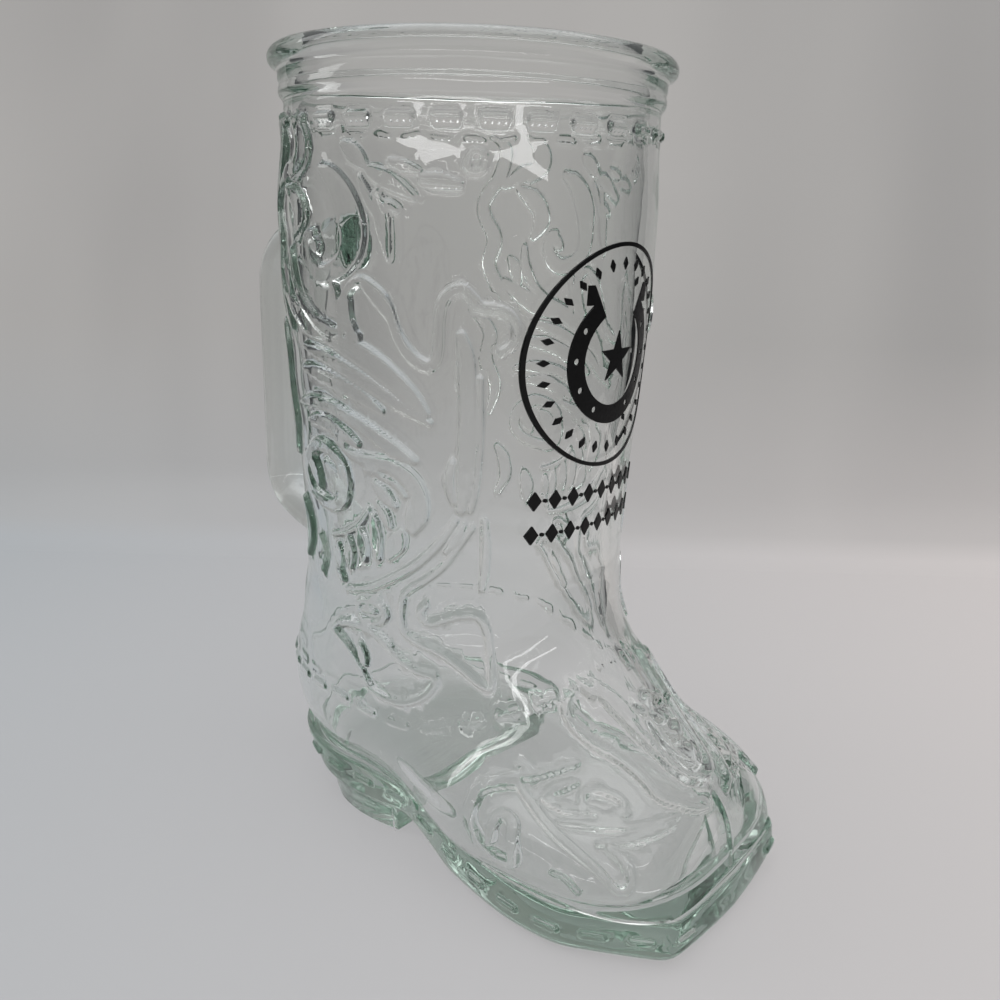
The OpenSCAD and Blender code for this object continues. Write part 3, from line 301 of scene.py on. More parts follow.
YOKE_LINE_SHARES = [
    [(86, 0.553, 0.6), (86.5, 0.585, 0.8), (85, 0.623, 0.8), (82, 0.651, 0.8), (79, 0.66, 0.8),
     (76, 0.651, 0.8), (73, 0.635, 0.8), (71, 0.613, 0.8), (69.4, 0.579, 0.8), (67.8, 0.552, 0.9),
     (65.5, 0.528, 1), (62.5, 0.509, 1.1), (59.5, 0.503, 1), (57.6, 0.519, 0.8), (57, 0.557, 0.8),
     (56.9, 0.594, 0.8), (56, 0.627, 0.8), (54, 0.646, 0.8), (51, 0.654, 0.8), (48, 0.636, 0.8),
     (46, 0.622, 0.7), (41, 0.616, 0.7), (38, 0.604, 0.7), (36.4, 0.58, 0.7), (37, 0.552, 0.6),
     (40, 0.535, 0.5)],
    [(83.6, 0.619, 0.6), (84.2, 0.587, 1.2), (82.7, 0.557, 1.2), (80.6, 0.551, 0.5)],
    [(78.2, 0.651, 0.5), (74, 0.625, 1), (70.6, 0.592, 0.5)],
    [(51, 0.565, 0.7), (49.6, 0.52, 1.4), (49, 0.44, 1.5), (49, 0.36, 1.5), (49.4, 0.27, 1.4),
     (50.4, 0.205, 0.7)],
    [(45.8, 0.48, 0.4), (45.6, 0.4, 0.6), (45.6, 0.33, 0.6), (46.4, 0.25, 0.6), (47.6, 0.205, 0.4)],
    [(52.6, 0.222, 0.4), (53.8, 0.265, 0.8), (53, 0.306, 0.4)],
    [(43.2, 0.18, 0.4), (42.6, 0.12, 0.7), (42.6, 0.07, 0.7), (43.4, 0.028, 0.4)],
]
PLUME_SHARES = [
    [(93, 0.538, 0.7), (86, 0.53, 1.9), (78, 0.509, 2.3), (71, 0.477, 2), (65, 0.442, 1.5),
     (60.5, 0.406, 0.5)],
    [(104, 0.514, 0.7), (95, 0.503, 1.4), (86, 0.485, 1.5), (78, 0.461, 1.5), (70.5, 0.43, 1.3),
     (64, 0.406, 0.9), (59.6, 0.387, 0.4)],
    [(106, 0.467, 0.7), (97, 0.462, 1.7), (88, 0.449, 1.8), (80, 0.43, 1.5), (74, 0.404, 0.5)],
    [(111, 0.385, 0.5), (102, 0.398, 1.2), (93, 0.396, 1.3), (85, 0.379, 1.3), (78, 0.358, 1.4),
     (70.5, 0.327, 1.5), (64.3, 0.306, 0.5)],
    [(105, 0.354, 0.6), (97, 0.361, 1.6), (89, 0.345, 1.5), (83, 0.326, 0.6)],
    [(89.6, 0.449, 0.8), (88.4, 0.441, 1.5), (87.4, 0.43, 0.8)],
    [(90.6, 0.338, 0.8), (89.4, 0.329, 1.5), (88.4, 0.32, 0.8)],
    [(88.4, 0.236, 1.4), (90, 0.274, 1.4), (95, 0.298, 1.3), (101, 0.302, 1.3), (107, 0.277, 1.4),
     (110.4, 0.236, 1.5), (108, 0.198, 1.4), (101.5, 0.177, 1.3), (94.5, 0.175, 1.3), (90, 0.196, 1.4),
     (88.4, 0.236, 1.4)],
    [(107, 0.274, 0.6), (104.5, 0.245, 1.9), (102, 0.211, 0.7)],
    [(97.5, 0.268, 0.8), (94, 0.24, 2.4), (93.5, 0.208, 0.9)],
    [(88, 0.308, 0.6), (80, 0.294, 1.3), (71.5, 0.289, 1.6), (65.6, 0.264, 1.8), (62.8, 0.226, 1.7),
     (62.6, 0.185, 1.4), (65, 0.151, 0.6)],
    [(80, 0.274, 0.5), (77.5, 0.274, 0.9), (75, 0.269, 0.5)],
    [(76.8, 0.248, 0.7), (74, 0.226, 1.4), (70.7, 0.203, 0.5)],
    [(76.1, 0.208, 0.5), (74.2, 0.181, 1.1), (72.4, 0.155, 0.5)],
    [(75.5, 0.264, 0.4), (70.5, 0.255, 0.7), (67.4, 0.228, 0.4)],
    [(65.1, 0.221, 0.4), (65.6, 0.189, 0.8), (66.4, 0.157, 0.4)],
    [(68.6, 0.147, 0.7), (70.6, 0.118, 2), (73, 0.085, 0.7)],
    [(78, 0.17, 0.7), (77.4, 0.123, 1.3), (77.2, 0.079, 0.6)],
    [(83.6, 0.135, 0.6), (82.8, 0.102, 1.4), (82.4, 0.068, 0.6)],
    [(88.8, 0.106, 0.6), (88.5, 0.075, 1.4), (88.2, 0.043, 0.6)],
    [(94, 0.084, 0.6), (93.5, 0.06, 1.3), (93, 0.036, 0.6)],
    [(94.4, 0.026, 0.5), (93, 0.015, 0.9), (91.6, 0.006, 0.5)],
    [(104.4, 0.085, 0.6), (103.4, 0.047, 1.7), (103.6, 0.009, 0.7)],
    [(96.5, 0.104, 0.4), (89.5, 0.122, 0.6), (84, 0.147, 0.6), (80, 0.183, 0.4)],
    [(90, -0.014, 0.5), (80, 0.006, 0.7), (72, 0.038, 0.7), (65, 0.071, 0.7), (60, 0.104, 0.7),
     (56, 0.137, 0.7), (52, 0.179, 0.5)],
    [(68.2, 0.003, 0.4), (65.5, 0.021, 0.5), (60, 0.049, 0.5), (55, 0.082, 0.5), (50.6, 0.128, 0.5),
     (47, 0.165, 0.4)],
    [(54.5, 0.111, 0.4), (51.7, 0.142, 0.9), (49.4, 0.172, 0.4)],
]
# Raised lines: (degrees from the back, row, width as a share of a plain line)
ANKLE_RELIEF_SHARES = [
    [(96, 0.9, 0.6), (96, 0.94, 0.6), (100, 0.957, 0.6), (104.5, 0.95, 0.6), (106, 0.92, 0.6),
     (104, 0.885, 0.6), (99, 0.878, 0.6), (96, 0.9, 0.6)],
    [(98, 0.915, 0.4), (100.2, 0.925, 0.9), (102.2, 0.92, 0.4)],
    [(84, 0.79, 0.5), (88, 0.83, 0.7), (94, 0.847, 0.7), (100, 0.85, 0.7), (106, 0.832, 0.7),
     (111, 0.79, 0.7), (115, 0.772, 0.6), (120, 0.77, 0.5), (118, 0.73, 0.6), (113.5, 0.678, 0.7),
     (108, 0.637, 0.7), (102, 0.626, 0.7), (98.8, 0.645, 0.7), (96.6, 0.69, 0.7), (92.5, 0.742, 0.6),
     (84, 0.79, 0.4)],
    [(97.6, 0.785, 0.4), (98.6, 0.75, 0.9), (99, 0.715, 0.4)],
    [(111.5, 0.99, 0.5), (111, 0.93, 0.6), (112.6, 0.884, 0.6), (117, 0.86, 0.6), (123, 0.845, 0.6),
     (128, 0.81, 0.6), (131.4, 0.772, 0.6), (133.6, 0.772, 0.6), (136, 0.83, 0.6), (137, 0.9, 0.6),
     (135.6, 0.95, 0.6), (132, 0.966, 0.6), (126, 0.952, 0.6), (120, 0.93, 0.6), (117.2, 0.955, 0.6),
     (119, 0.985, 0.5)],
]
FOOT_SCROLL_SHARES = [
    [(129.5, 0.485, 0.6), (125, 0.475, 1), (120.5, 0.445, 1.2), (116.5, 0.39, 1.3), (112.5, 0.33, 1.3),
     (108.5, 0.265, 1.3), (105.5, 0.205, 1.3), (104.2, 0.158, 1.2), (106.3, 0.134, 1.1),
     (110, 0.152, 1.1), (114, 0.203, 1.1), (118, 0.265, 1.1), (121.4, 0.322, 1.1), (122, 0.358, 1),
     (119.5, 0.347, 1), (115.5, 0.294, 1), (111.5, 0.238, 0.9), (109, 0.21, 0.5)],
    [(129.3, 0.492, 0.5), (129.8, 0.43, 0.8), (130, 0.37, 0.8), (131, 0.31, 0.8), (133.5, 0.25, 0.7),
     (136, 0.2, 0.6), (137.7, 0.15, 0.4)],
    [(124, 0.487, 0.4), (129, 0.507, 0.7), (134, 0.522, 0.7), (139, 0.545, 0.6), (144, 0.566, 0.4)],
    [(130.6, 0.53, 0.4), (131.8, 0.547, 0.5), (133, 0.535, 0.4)],
]
FOOT_LEAVES_SHARES = [
    [(133, 0.447, 0.5), (136.5, 0.482, 1.1), (141.5, 0.507, 0.5)],
    [(140, 0.43, 0.6), (142, 0.474, 0.6), (146, 0.486, 0.6), (149.5, 0.457, 0.6), (148.5, 0.425, 0.6),
     (144, 0.408, 0.6), (140, 0.43, 0.6)],
    [(133.6, 0.44, 0.6), (137, 0.422, 1.2), (140, 0.412, 0.5)],
    [(141, 0.38, 0.4), (145.5, 0.396, 0.9), (149.6, 0.416, 0.4)],
    [(133, 0.37, 0.5), (139.5, 0.374, 0.9), (147, 0.368, 0.9), (154.5, 0.374, 0.8), (162, 0.392, 0.4)],
    [(139.5, 0.303, 0.5), (146.5, 0.32, 1), (153, 0.34, 1), (160, 0.362, 0.4)],
    [(141.4, 0.285, 0.5), (143.6, 0.25, 0.8), (144, 0.205, 0.4)],
    [(136.6, 0.175, 0.4), (139, 0.14, 0.5), (143, 0.15, 0.5), (145.2, 0.2, 0.5), (145, 0.265, 0.4)],
    [(120, 0.155, 0.4), (122, 0.135, 0.8), (123.4, 0.1, 0.4)],
]
TONGUE_PANEL_SHARES = [
    [(158, 0.77, 0.4), (152.5, 0.747, 0.7), (148.6, 0.71, 0.8), (148, 0.665, 0.8), (150, 0.62, 0.8),
     (154, 0.578, 0.8), (157, 0.52, 0.8), (158.8, 0.462, 0.8), (163, 0.43, 0.8), (168, 0.402, 0.7),
     (172.5, 0.395, 0.4)],
    [(161.5, 0.775, 0.5), (161.2, 0.72, 0.9), (163, 0.66, 0.9), (165, 0.6, 0.9), (167.5, 0.54, 0.9),
     (170.5, 0.502, 0.9), (175, 0.487, 0.9), (180, 0.485, 0.9)],
    [(161.2, 0.765, 0.6), (163.6, 0.72, 1.3), (165.6, 0.675, 0.6)],
    [(157, 0.768, 0.6), (158.4, 0.752, 1.3), (159.6, 0.736, 0.6)],
]
VAMP_PLAQUE_SHARES = [
    [(170, 0.7, 0.5), (172.6, 0.688, 0.9), (175.4, 0.7, 0.9), (180, 0.712, 0.9)],
    [(170.4, 0.655, 0.5), (170.6, 0.6, 0.6), (172.6, 0.556, 0.6), (176, 0.53, 0.6), (180, 0.522, 0.6)],
    [(173, 0.627, 0.5), (176.5, 0.612, 1), (180, 0.607, 1)],
    [(174.6, 0.665, 0.4), (177.4, 0.655, 0.8), (180, 0.658, 0.8)],
    [(175, 0.575, 0.4), (177.6, 0.562, 1), (180, 0.555, 1)],
]
TOE_SEAM_SHARES = [[(180, 0.02, 0.3), (180, 0.14, 0.35), (180, 0.28, 0.35), (180, 0.42, 0.3)]]


def length_property(name, description, default):
    return FloatProperty(name=name, description=description, default=default, unit="LENGTH")


def colour_property(name, description, default):
    return FloatVectorProperty(
        name=name, description=description, default=default, size=3, subtype="COLOR", min=0, max=1)


class GlassBootSizes(bpy.types.PropertyGroup):
    total_height: length_property("Height", "Height from the table to the lip", 0.190)
    bead_diameter: length_property("Bead Diameter", "Outer diameter of the bead", 0.094)
    bead_height: length_property("Bead Height", "Height of the bead", 0.0046)
    collar_diameter: length_property("Collar Diameter", "Outer diameter of the collar", 0.0896)
    collar_height: length_property("Collar Height", "Height of the plain collar", 0.0074)
    shaft_diameter: length_property("Shaft Diameter", "Widest diameter of the shaft", 0.0892)
    ankle_diameter: length_property("Ankle Diameter", "Diameter at the ankle", 0.0824)
    ankle_height: length_property("Ankle Height", "Height of the ankle", 0.072)
    toe_reach: length_property("Toe Reach", "From the axis to the toe", 0.086)
    counter_reach: length_property("Counter Reach", "From the axis to the counter", 0.047)
    sole_width: length_property("Sole Width", "Width of the sole at the ball", 0.0776)
    sole_thickness: length_property("Sole Thickness", "Thickness of the sole", 0.012)
    heel_height: length_property("Heel Height", "Height of the heel block", 0.008)
    heel_front: length_property("Heel Front", "From the axis to the heel's front", 0.005)
    wall: length_property("Wall", "Thickness of the glass wall", 0.0042)
    bar_diameter: length_property("Bar Diameter", "Diameter of the handle's bar", 0.0124)


class GlassBootRelief(bpy.types.PropertyGroup):
    line_width: length_property("Line Width", "Width of a plain raised line", 0.002)
    line_gain: length_property("Line Gain", "Width that every raised line has more", 0.0006)
    line_height: length_property("Line Height", "Height of the raised ornament", 0.00115)
    stitch_length: length_property("Stitch Length", "Length of one moulded stitch", 0.0068)
    stitch_width: length_property("Stitch Width", "Width of one moulded stitch", 0.0026)
    edge_width: length_property("Edge Width", "Width of a raised line's sloping edge", 0.00074)
    wave_height: length_property("Wave Height", "Depth of the slow waves in the bore", 0.00022)


class GlassBootFinish(bpy.types.PropertyGroup):
    glass_tint: colour_property("Glass Tint", "Colour that thick glass takes", (0.604, 0.712, 0.654))
    tint_density: FloatProperty(
        name="Tint Density", description="How fast the tint builds up with depth", default=26.0)
    enamel_colour: colour_property("Enamel Colour", "Colour of the fired print", (0.002, 0.002, 0.0022))
    ground_colour: colour_property("Ground Colour", "Colour of the ground cloth", (0.53, 0.52, 0.512))
    backdrop_colour: colour_property("Backdrop Colour", "Colour of the backdrop", (0.415, 0.405, 0.395))
    columns: IntProperty(
        name="Columns", description="Columns of the outer skin, an even number", default=188)


def sizes():
    return bpy.context.scene.glass_boot_sizes


def relief():
    return bpy.context.scene.glass_boot_relief


def finish():
    return bpy.context.scene.glass_boot_finish


def collar_foot():
    """Height of the collar's lower edge, where the shaft ends."""
    size = sizes()
    return size.total_height - size.bead_height - size.collar_height


def shaft_span():
    return collar_foot() - sizes().ankle_height


# Outlines
def smooth_at(table, x):
    places = np.array([row[0] for row in table], float)
    values = np.array([row[1] for row in table], float)
    x = np.clip(np.asarray(x, float), places[0], places[-1])
    i = np.clip(np.searchsorted(places, x, side="right") - 1, 0, len(places) - 2)
    step = places[i + 1] - places[i]
    t = (x - places[i])/step
    slopes = np.gradient(values, places, edge_order=1)
    slopes[1:-1] = (values[2:] - values[:-2])/(places[2:] - places[:-2])
    return ((2*t**3 - 3*t**2 + 1)*values[i] + (t**3 - 2*t**2 + t)*step*slopes[i]
            + (3*t**2 - 2*t**3)*values[i + 1] + (t**3 - t**2)*step*slopes[i + 1])


def ramp(x):
    """0 up to 0 and 1 from 1 on, with a smooth rise between them."""
    t = np.clip(x, 0, 1)
    return t*t*(3 - 2*t)


def quick_ramp(x):
    """The same for one plain number, where it is asked for very often."""
    t = min(max(x, 0.0), 1.0)
    return t*t*(3 - 2*t)


def mix(a, b, t):
    return a + (b - a)*t


def row_value(shares, s):
    return smooth_at(list(zip(ROW_SHARES, shares)), s)


def bent(x, power):
    return np.abs(x)**(2/power)


def fall(x):
    """0 at the heel and 1 at the ball, as the sole comes down."""
    return ramp((x/sizes().toe_reach - FALL_START_SHARE)/FALL_RUN_SHARE)


def shaft_radius(z):
    size = sizes()
    share = smooth_at(SHAFT_SHARES, (z - size.ankle_height)/shaft_span())
    return mix(size.ankle_diameter/2, size.shaft_diameter/2, share)


def shaft_point(turn, z):
    """A point by degrees from the toe towards the near side."""
    radius = shaft_radius(z)
    turn = np.radians(turn)
    return np.stack(np.broadcast_arrays(radius*np.cos(turn), -radius*np.sin(turn), z), -1)


def foot_point(s, turn, inset=0.0, front_inset=None):
    """A point by row and by degrees from the back towards the near side."""
    size = sizes()
    s, turn = np.broadcast_arrays(np.asarray(s, float), np.asarray(turn, float))
    front_inset = inset if front_inset is None else front_inset
    half = size.ankle_diameter/2
    ankle = ramp((s - ANKLE_START_SHARE)/ANKLE_RUN_SHARE)
    side = mix(row_value(SIDE_SHARES, s)*size.sole_width/2, half, ankle) - inset
    front = mix(half, size.toe_reach, row_value(TOE_SHARES, s)) - front_inset
    back = mix(half, size.counter_reach, row_value(BACK_SHARES, s)) - inset
    middle = row_value(MIDDLE_SHARES, s)*size.toe_reach
    c = -np.cos(np.radians(turn))
    sn = np.sin(np.radians(turn))
    power = np.where(c > 0, row_value(FRONT_POWER_SHARES, s), row_value(BACK_POWER_SHARES, s))
    ahead = middle + (front - middle)*bent(c, power)
    behind = middle - (back + middle)*bent(c, power)
    x = np.where(c > 0, ahead, behind)
    waist = np.exp(-((x/size.toe_reach - WAIST_PLACE_SHARE)/WAIST_SPREAD_SHARE)**2)
    dent = row_value(WAIST_SHARES, s)*waist
    y = -np.sign(sn)*side*bent(sn, power)*(1 - dent)
    heel_top = size.heel_height + size.sole_thickness
    back_z = mix(heel_top, size.ankle_height, row_value(BACK_Z_SHARES, s))
    front_z = mix(size.sole_thickness, size.ankle_height, row_value(FRONT_Z_SHARES, s))
    return np.stack([x, y, mix(back_z, front_z, fall(x))], -1)


def sole_top(x):
    size = sizes()
    return mix(size.heel_height + size.sole_thickness, size.sole_thickness, fall(x))


def sole_base(x):
    return sizes().heel_height*(1 - ramp((x/sizes().toe_reach - ARCH_START_SHARE)/ARCH_RUN_SHARE))


def sole_outline():
    """Half of the outline, from the toe round the near side to the heel."""
    size = sizes()
    steps = np.linspace(0, 1, len(OUTLINE_SHARES))
    u = np.linspace(1, 0, OUTLINE_SAMPLES)
    x = smooth_at(list(zip(steps, [row[0] for row in OUTLINE_SHARES])), u)
    y = smooth_at(list(zip(steps, [row[1] for row in OUTLINE_SHARES])), u)
    x = np.where(x < 0, x*size.counter_reach*SOLE_BACK_SHARE, x*size.toe_reach)
    return x, np.maximum(y, 0)*size.sole_width/2


def sole_line(level, inset=0.0):
    """Half of the sole's side at a share of its thickness."""
    x, y = sole_outline()
    heel_inset = smooth_at([(row[0], row[1]) for row in SOLE_SIDE_SHARES], level)
    ball_inset = smooth_at([(row[0], row[2]) for row in SOLE_SIDE_SHARES], level)
    k = 1 - mix(heel_inset, ball_inset, fall(x)) - inset/(sizes().sole_width/2)
    base = sole_base(x)
    z = base + (sole_top(x) - base)*level
    toe_end = 1 - ball_inset*TOE_INSET_SHARE - inset/sizes().toe_reach
    toe_k = mix(k, toe_end, ramp(x/sizes().toe_reach))
    return np.stack([x*toe_k, -y*k, z], -1)


def run_lengths(line):
    """How far each point of a line lies from its start, along it."""
    return np.concatenate([[0], np.cumsum(np.linalg.norm(np.diff(line, axis=0), axis=1))])


def points_at(line, runs, places):
    return np.stack([np.interp(places, runs, line[:, axis]) for axis in range(3)], -1)


def resampled(half, shares):
    """Points along half an outline at shares of its length, and their mirror images."""
    runs = run_lengths(half)
    near = points_at(half, runs, np.array(shares)*runs[-1])
    near[0, 1] = 0
    near[-1, 1] = 0
    far = near[-2:0:-1]*np.array([1, -1, 1])
    return np.concatenate([near, far])


def column_shares(count, finer):
    """Shares of half a ring, close together where the ornament is and wider apart at the back."""
    half = count//2
    spacing = np.where(np.arange(half) < ORNAMENT_SHARE*count/2, 1.0, BACK_SPACING_SHARE)
    places = np.concatenate([[0], np.cumsum(spacing)])/spacing.sum()
    return np.interp(np.linspace(0, half, finer*count//2 + 1), np.arange(half + 1), places)


def circle_line(radius, z):
    turn = np.radians(np.linspace(0, 180, CIRCLE_SAMPLES))
    return np.stack([radius*np.cos(turn), -radius*np.sin(turn), np.full_like(turn, z)], -1)


def foot_line(s, inset=0.0, front_inset=None):
    return foot_point(s, np.linspace(180, 0, FOOT_SAMPLES), inset, front_inset)


# What each vertex carries: its skin, and its row and turn in that skin's first grid
MARKS = ["skin", "row", "ring_cos", "ring_sin"]
OUTER_SKIN = 1
INNER_SKIN = 2
HANDLE_SKIN = 3


def mark_layers(bm):
    return [bm.verts.layers.float[name] for name in MARKS]


def grid_skin(bm, rings, skin):
    """A closed band through the rings, from a grid whose sides are welded."""
    rows = len(rings)
    columns = len(rings[0])
    marks = mark_layers(bm)
    made = bmesh.ops.create_grid(bm, x_segments=columns, y_segments=rows - 1, size=1)
    seam = []
    for vert in made["verts"]:
        column = round((vert.co.x + 1)/2*columns)
        row = round((vert.co.y + 1)/2*(rows - 1))
        turn = 2*math.pi*column/columns
        vert.co = Vector(rings[row][column % columns])
        for mark, value in zip(marks, (skin, row, math.cos(turn), math.sin(turn))):
            vert[mark] = value
        if column in (0, columns):
            seam.append(vert)
    bmesh.ops.remove_doubles(bm, verts=seam, dist=WELD)
    return placed_verts(bm, skin, columns)


def ring_place(vert, marks, columns):
    """Row and column of a vertex, which may lie between those of the first grid."""
    turn = math.atan2(vert[marks[3]], vert[marks[2]])
    return vert[marks[1]], turn/(2*math.pi)*columns % columns


def placed_verts(bm, skin, columns):
    """The vertices of a skin's first grid by row and column."""
    marks = mark_layers(bm)
    placed = {}
    for vert in bm.verts:
        if round(vert[marks[0]]) != skin:
            continue
        row, column = ring_place(vert, marks, columns)
        if abs(row - round(row)) + abs(column - round(column)) < PLACE_SLACK_SHARE:
            placed[round(row), round(column) % columns] = vert
    return placed


def ring_edges(placed, row, columns):
    ring = [placed[row, column] for column in range(columns)]
    edges = []
    for vert, after in zip(ring, ring[1:] + ring[:1]):
        edges += [edge for edge in vert.link_edges if edge.other_vert(vert) == after]
    return edges


# Relief
def spline(points):
    """Close-set points of a smooth line through a few."""
    points = np.array(points, float)
    last = len(points) - 1
    u = np.linspace(0, last, last*SAMPLES_PER_SPAN + 1)
    i = np.minimum(u.astype(int), last - 1)
    t = (u - i)[:, None]
    before = points[np.maximum(i - 1, 0)]
    after = points[np.minimum(i + 2, last)]
    a = points[i]
    b = points[i + 1]
    return 0.5*(2*a + (b - before)*t + (2*before - 5*a + 4*b - after)*t**2
                + (3*a - 3*b + after - before)*t**3)


def both_sides(places):
    return [places, places*np.array([1, -1, 1])]


def on_shaft(line):
    return shaft_point(line[:, 0], sizes().ankle_height + shaft_span()*line[:, 1])


def on_foot(line):
    return foot_point(line[:, 1], line[:, 0])


def strokes_from(table, settle, height_share=1.0):
    """Both sides' raised lines: their points, half widths and height, from one side's table."""
    strokes = []
    for points in table:
        line = spline(points)
        widths = (line[:, 2]*relief().line_width + relief().line_gain)/2
        strokes += [(side, widths, height_share) for side in both_sides(settle(line))]
    return strokes


def stitches_on(line, middles, height_share):
    """Short raised pills along a line of points, centred at shares of its length."""
    runs = run_lengths(line)
    half = (relief().stitch_length - relief().stitch_width)/2
    widths = np.full(2*SAMPLES_PER_SPAN, stitch_half_width())
    strokes = []
    for middle in middles:
        places = np.linspace(middle*runs[-1] - half, middle*runs[-1] + half, len(widths))
        strokes.append((points_at(line, runs, places), widths, height_share))
    return strokes


def stitch_half_width():
    return (relief().stitch_width - relief().edge_width)/2


def even_middles(count):
    return (np.arange(count) + 0.5)/count


def collar_stitches():
    turn = np.linspace(0, 360, STITCH_ROW_SAMPLES)
    z = collar_foot() - COLLAR_DROP_SHARE*relief().stitch_width
    line = shaft_point(turn, np.full_like(turn, z))
    return stitches_on(line, even_middles(COLLAR_STITCHES), COLLAR_STITCH_RISE_SHARE)


def ankle_stitches():
    turn = np.linspace(0, 360, STITCH_ROW_SAMPLES)
    rows = smooth_at(ANKLE_ROW_SHARES, np.where(turn > 180, 360 - turn, turn))
    return stitches_on(foot_point(rows, turn), even_middles(ANKLE_STITCHES), ANKLE_STITCH_RISE_SHARE)


def welt_stitches():
    strokes = []
    for side in both_sides(sole_line(WELT_LEVEL_SHARE)):
        strokes += stitches_on(side, np.linspace(*WELT_END_SHARES, WELT_STITCHES), WELT_STITCH_RISE_SHARE)
    return strokes


def all_strokes():
    strokes = collar_stitches() + ankle_stitches() + welt_stitches()
    strokes += strokes_from(TOE_SEAM_SHARES, on_foot, TOE_SEAM_RISE_SHARE)
    for table in (BACK_STEM_SHARES, SCROLL_SHARES, LEAVES_SHARES, YOKE_LINE_SHARES, PLUME_SHARES):
        strokes += strokes_from(table, on_shaft)
    strokes += strokes_from(ANKLE_RELIEF_SHARES, on_foot, ANKLE_RISE_SHARE)
    for table in (FOOT_SCROLL_SHARES, FOOT_LEAVES_SHARES, TONGUE_PANEL_SHARES, VAMP_PLAQUE_SHARES):
        strokes += strokes_from(table, on_foot, FOOT_RISE_SHARE)
    return strokes


class StrokeField:
    """Distances to the raised lines."""

    def __init__(self, strokes):
        self.samples = []
        for places, widths, height_share in strokes:
            self.samples += [(place, width, height_share) for place, width in zip(places, widths)]
        self.tree = kdtree.KDTree(len(self.samples))
        for number, sample in enumerate(self.samples):
            self.tree.insert(Vector(sample[0]), number)
        self.tree.balance()
        self.reach = max(sample[1] for sample in self.samples) + relief().edge_width

    def near(self, place, reach):
        if self.tree.find(place)[2] > reach:
            return []
        found = self.tree.find_range(place, reach)
        return [(distance, *self.samples[number][1:]) for _, number, distance in found]

    def gap(self, place):
        """How far a place lies outside the nearest line's footprint."""
        found = self.near(place, self.reach + LEVEL_MARGINS[0])
        return min((distance - width for distance, width, _ in found), default=1.0)

    def edge_gap(self, place):
        """How far a place lies from a sloping edge, to either side. All of a stitch's back is edge."""
        found = self.near(place, self.reach)
        stitch = stitch_half_width()
        if any(distance < width and abs(width - stitch) < WELD for distance, width, _ in found):
            return 0.0
        return abs(min((distance - width for distance, width, _ in found), default=1.0))

    def height(self, place):
        plain = relief().line_width/2
        edge = relief().edge_width
        height = 0.0
        for distance, width, height_share in self.near(place, self.reach):
            rise = 1 - quick_ramp((distance - width)/edge + 0.5)
            if rise <= 0:
                continue
            full = relief().line_height*height_share*min(1.0, mix(NARROW_RISE_SHARE, 1, width/plain))
            if width > HOLLOW_FROM_SHARE*plain:
                rise *= 1 - HOLLOW_DEPTH_SHARE*(1 - quick_ramp((distance + edge/2)/width))
            height = max(height, full*rise)
        return height


def refine(bm, table, finer, choose):
    """Halves the outer faces that a test picks, and settles the new points on the true surface."""
    marks = mark_layers(bm)
    picked = [face for face in bm.faces if choose(face.calc_center_median())]
    edges = {edge for face in picked for edge in face.edges}
    made = bmesh.ops.subdivide_edges(bm, edges=list(edges), cuts=1, use_grid_fill=True)
    for vert in {item for item in made["geom_inner"] if isinstance(item, bmesh.types.BMVert)}:
        row, column = ring_place(vert, marks, len(table[0]))
        vert.co = Vector(table[round(row*finer)][round(column) % len(table[0])])


# Glass
def outer_stations():
    """Every ring of the outer skin from the lip down, as a kind and a value."""
    shaft_rows = np.linspace(collar_foot(), sizes().ankle_height, SHAFT_ROWS + 1)
    stations = [("lip", value) for value in range(len(LIP_SHARES))]
    stations += [("shaft", z) for z in shaft_rows[1:]]
    stations += [("foot", s) for s in np.linspace(1, 0, FOOT_ROWS + 1)[1:]]
    stations += [("ledge", value) for value in LEDGE_SHARES]
    stations += [("sole", level) for level in SOLE_LEVEL_SHARES]
    stations += [("rim", inset) for inset in RIM_INSETS]
    return stations


def lip_line(row):
    rows = range(len(LIP_SHARES))
    radius_share = np.interp(row, rows, [radius for radius, _ in LIP_SHARES])
    drop_share = np.interp(row, rows, [drop for _, drop in LIP_SHARES])
    drop = drop_share*(sizes().bead_height + sizes().collar_height)
    return circle_line(radius_share*sizes().bead_diameter/2, sizes().total_height - drop)


OUTER_LINES = {
    "lip": lip_line,
    "shaft": lambda z: circle_line(float(shaft_radius(z)), z),
    "foot": foot_line,
    "sole": sole_line,
    "rim": lambda inset: sole_line(0.0, inset),
}


def outer_ring(kind, value, shares):
    if kind != "ledge":
        return resampled(OUTER_LINES[kind](value), shares)
    ring = mix(resampled(foot_line(0), shares), resampled(sole_line(1.0, LEDGE_INSET), shares), value)
    ring[:, 2] -= np.interp(value, (0, *LEDGE_SHARES), (0, *LEDGE_DIPS))
    return ring


def outer_table(stations, shares, finer):
    """The rings and the rings between them."""
    table = []
    for (kind, value), (next_kind, next_value) in zip(stations, stations[1:]):
        for step in range(finer):
            if kind == next_kind:
                table.append(outer_ring(kind, mix(value, next_value, step/finer), shares))
            else:
                ring = outer_ring(kind, value, shares)
                next_ring = outer_ring(next_kind, next_value, shares)
                table.append(mix(ring, next_ring, step/finer))
    table.append(outer_ring(*stations[-1], shares))
    return np.array(table)


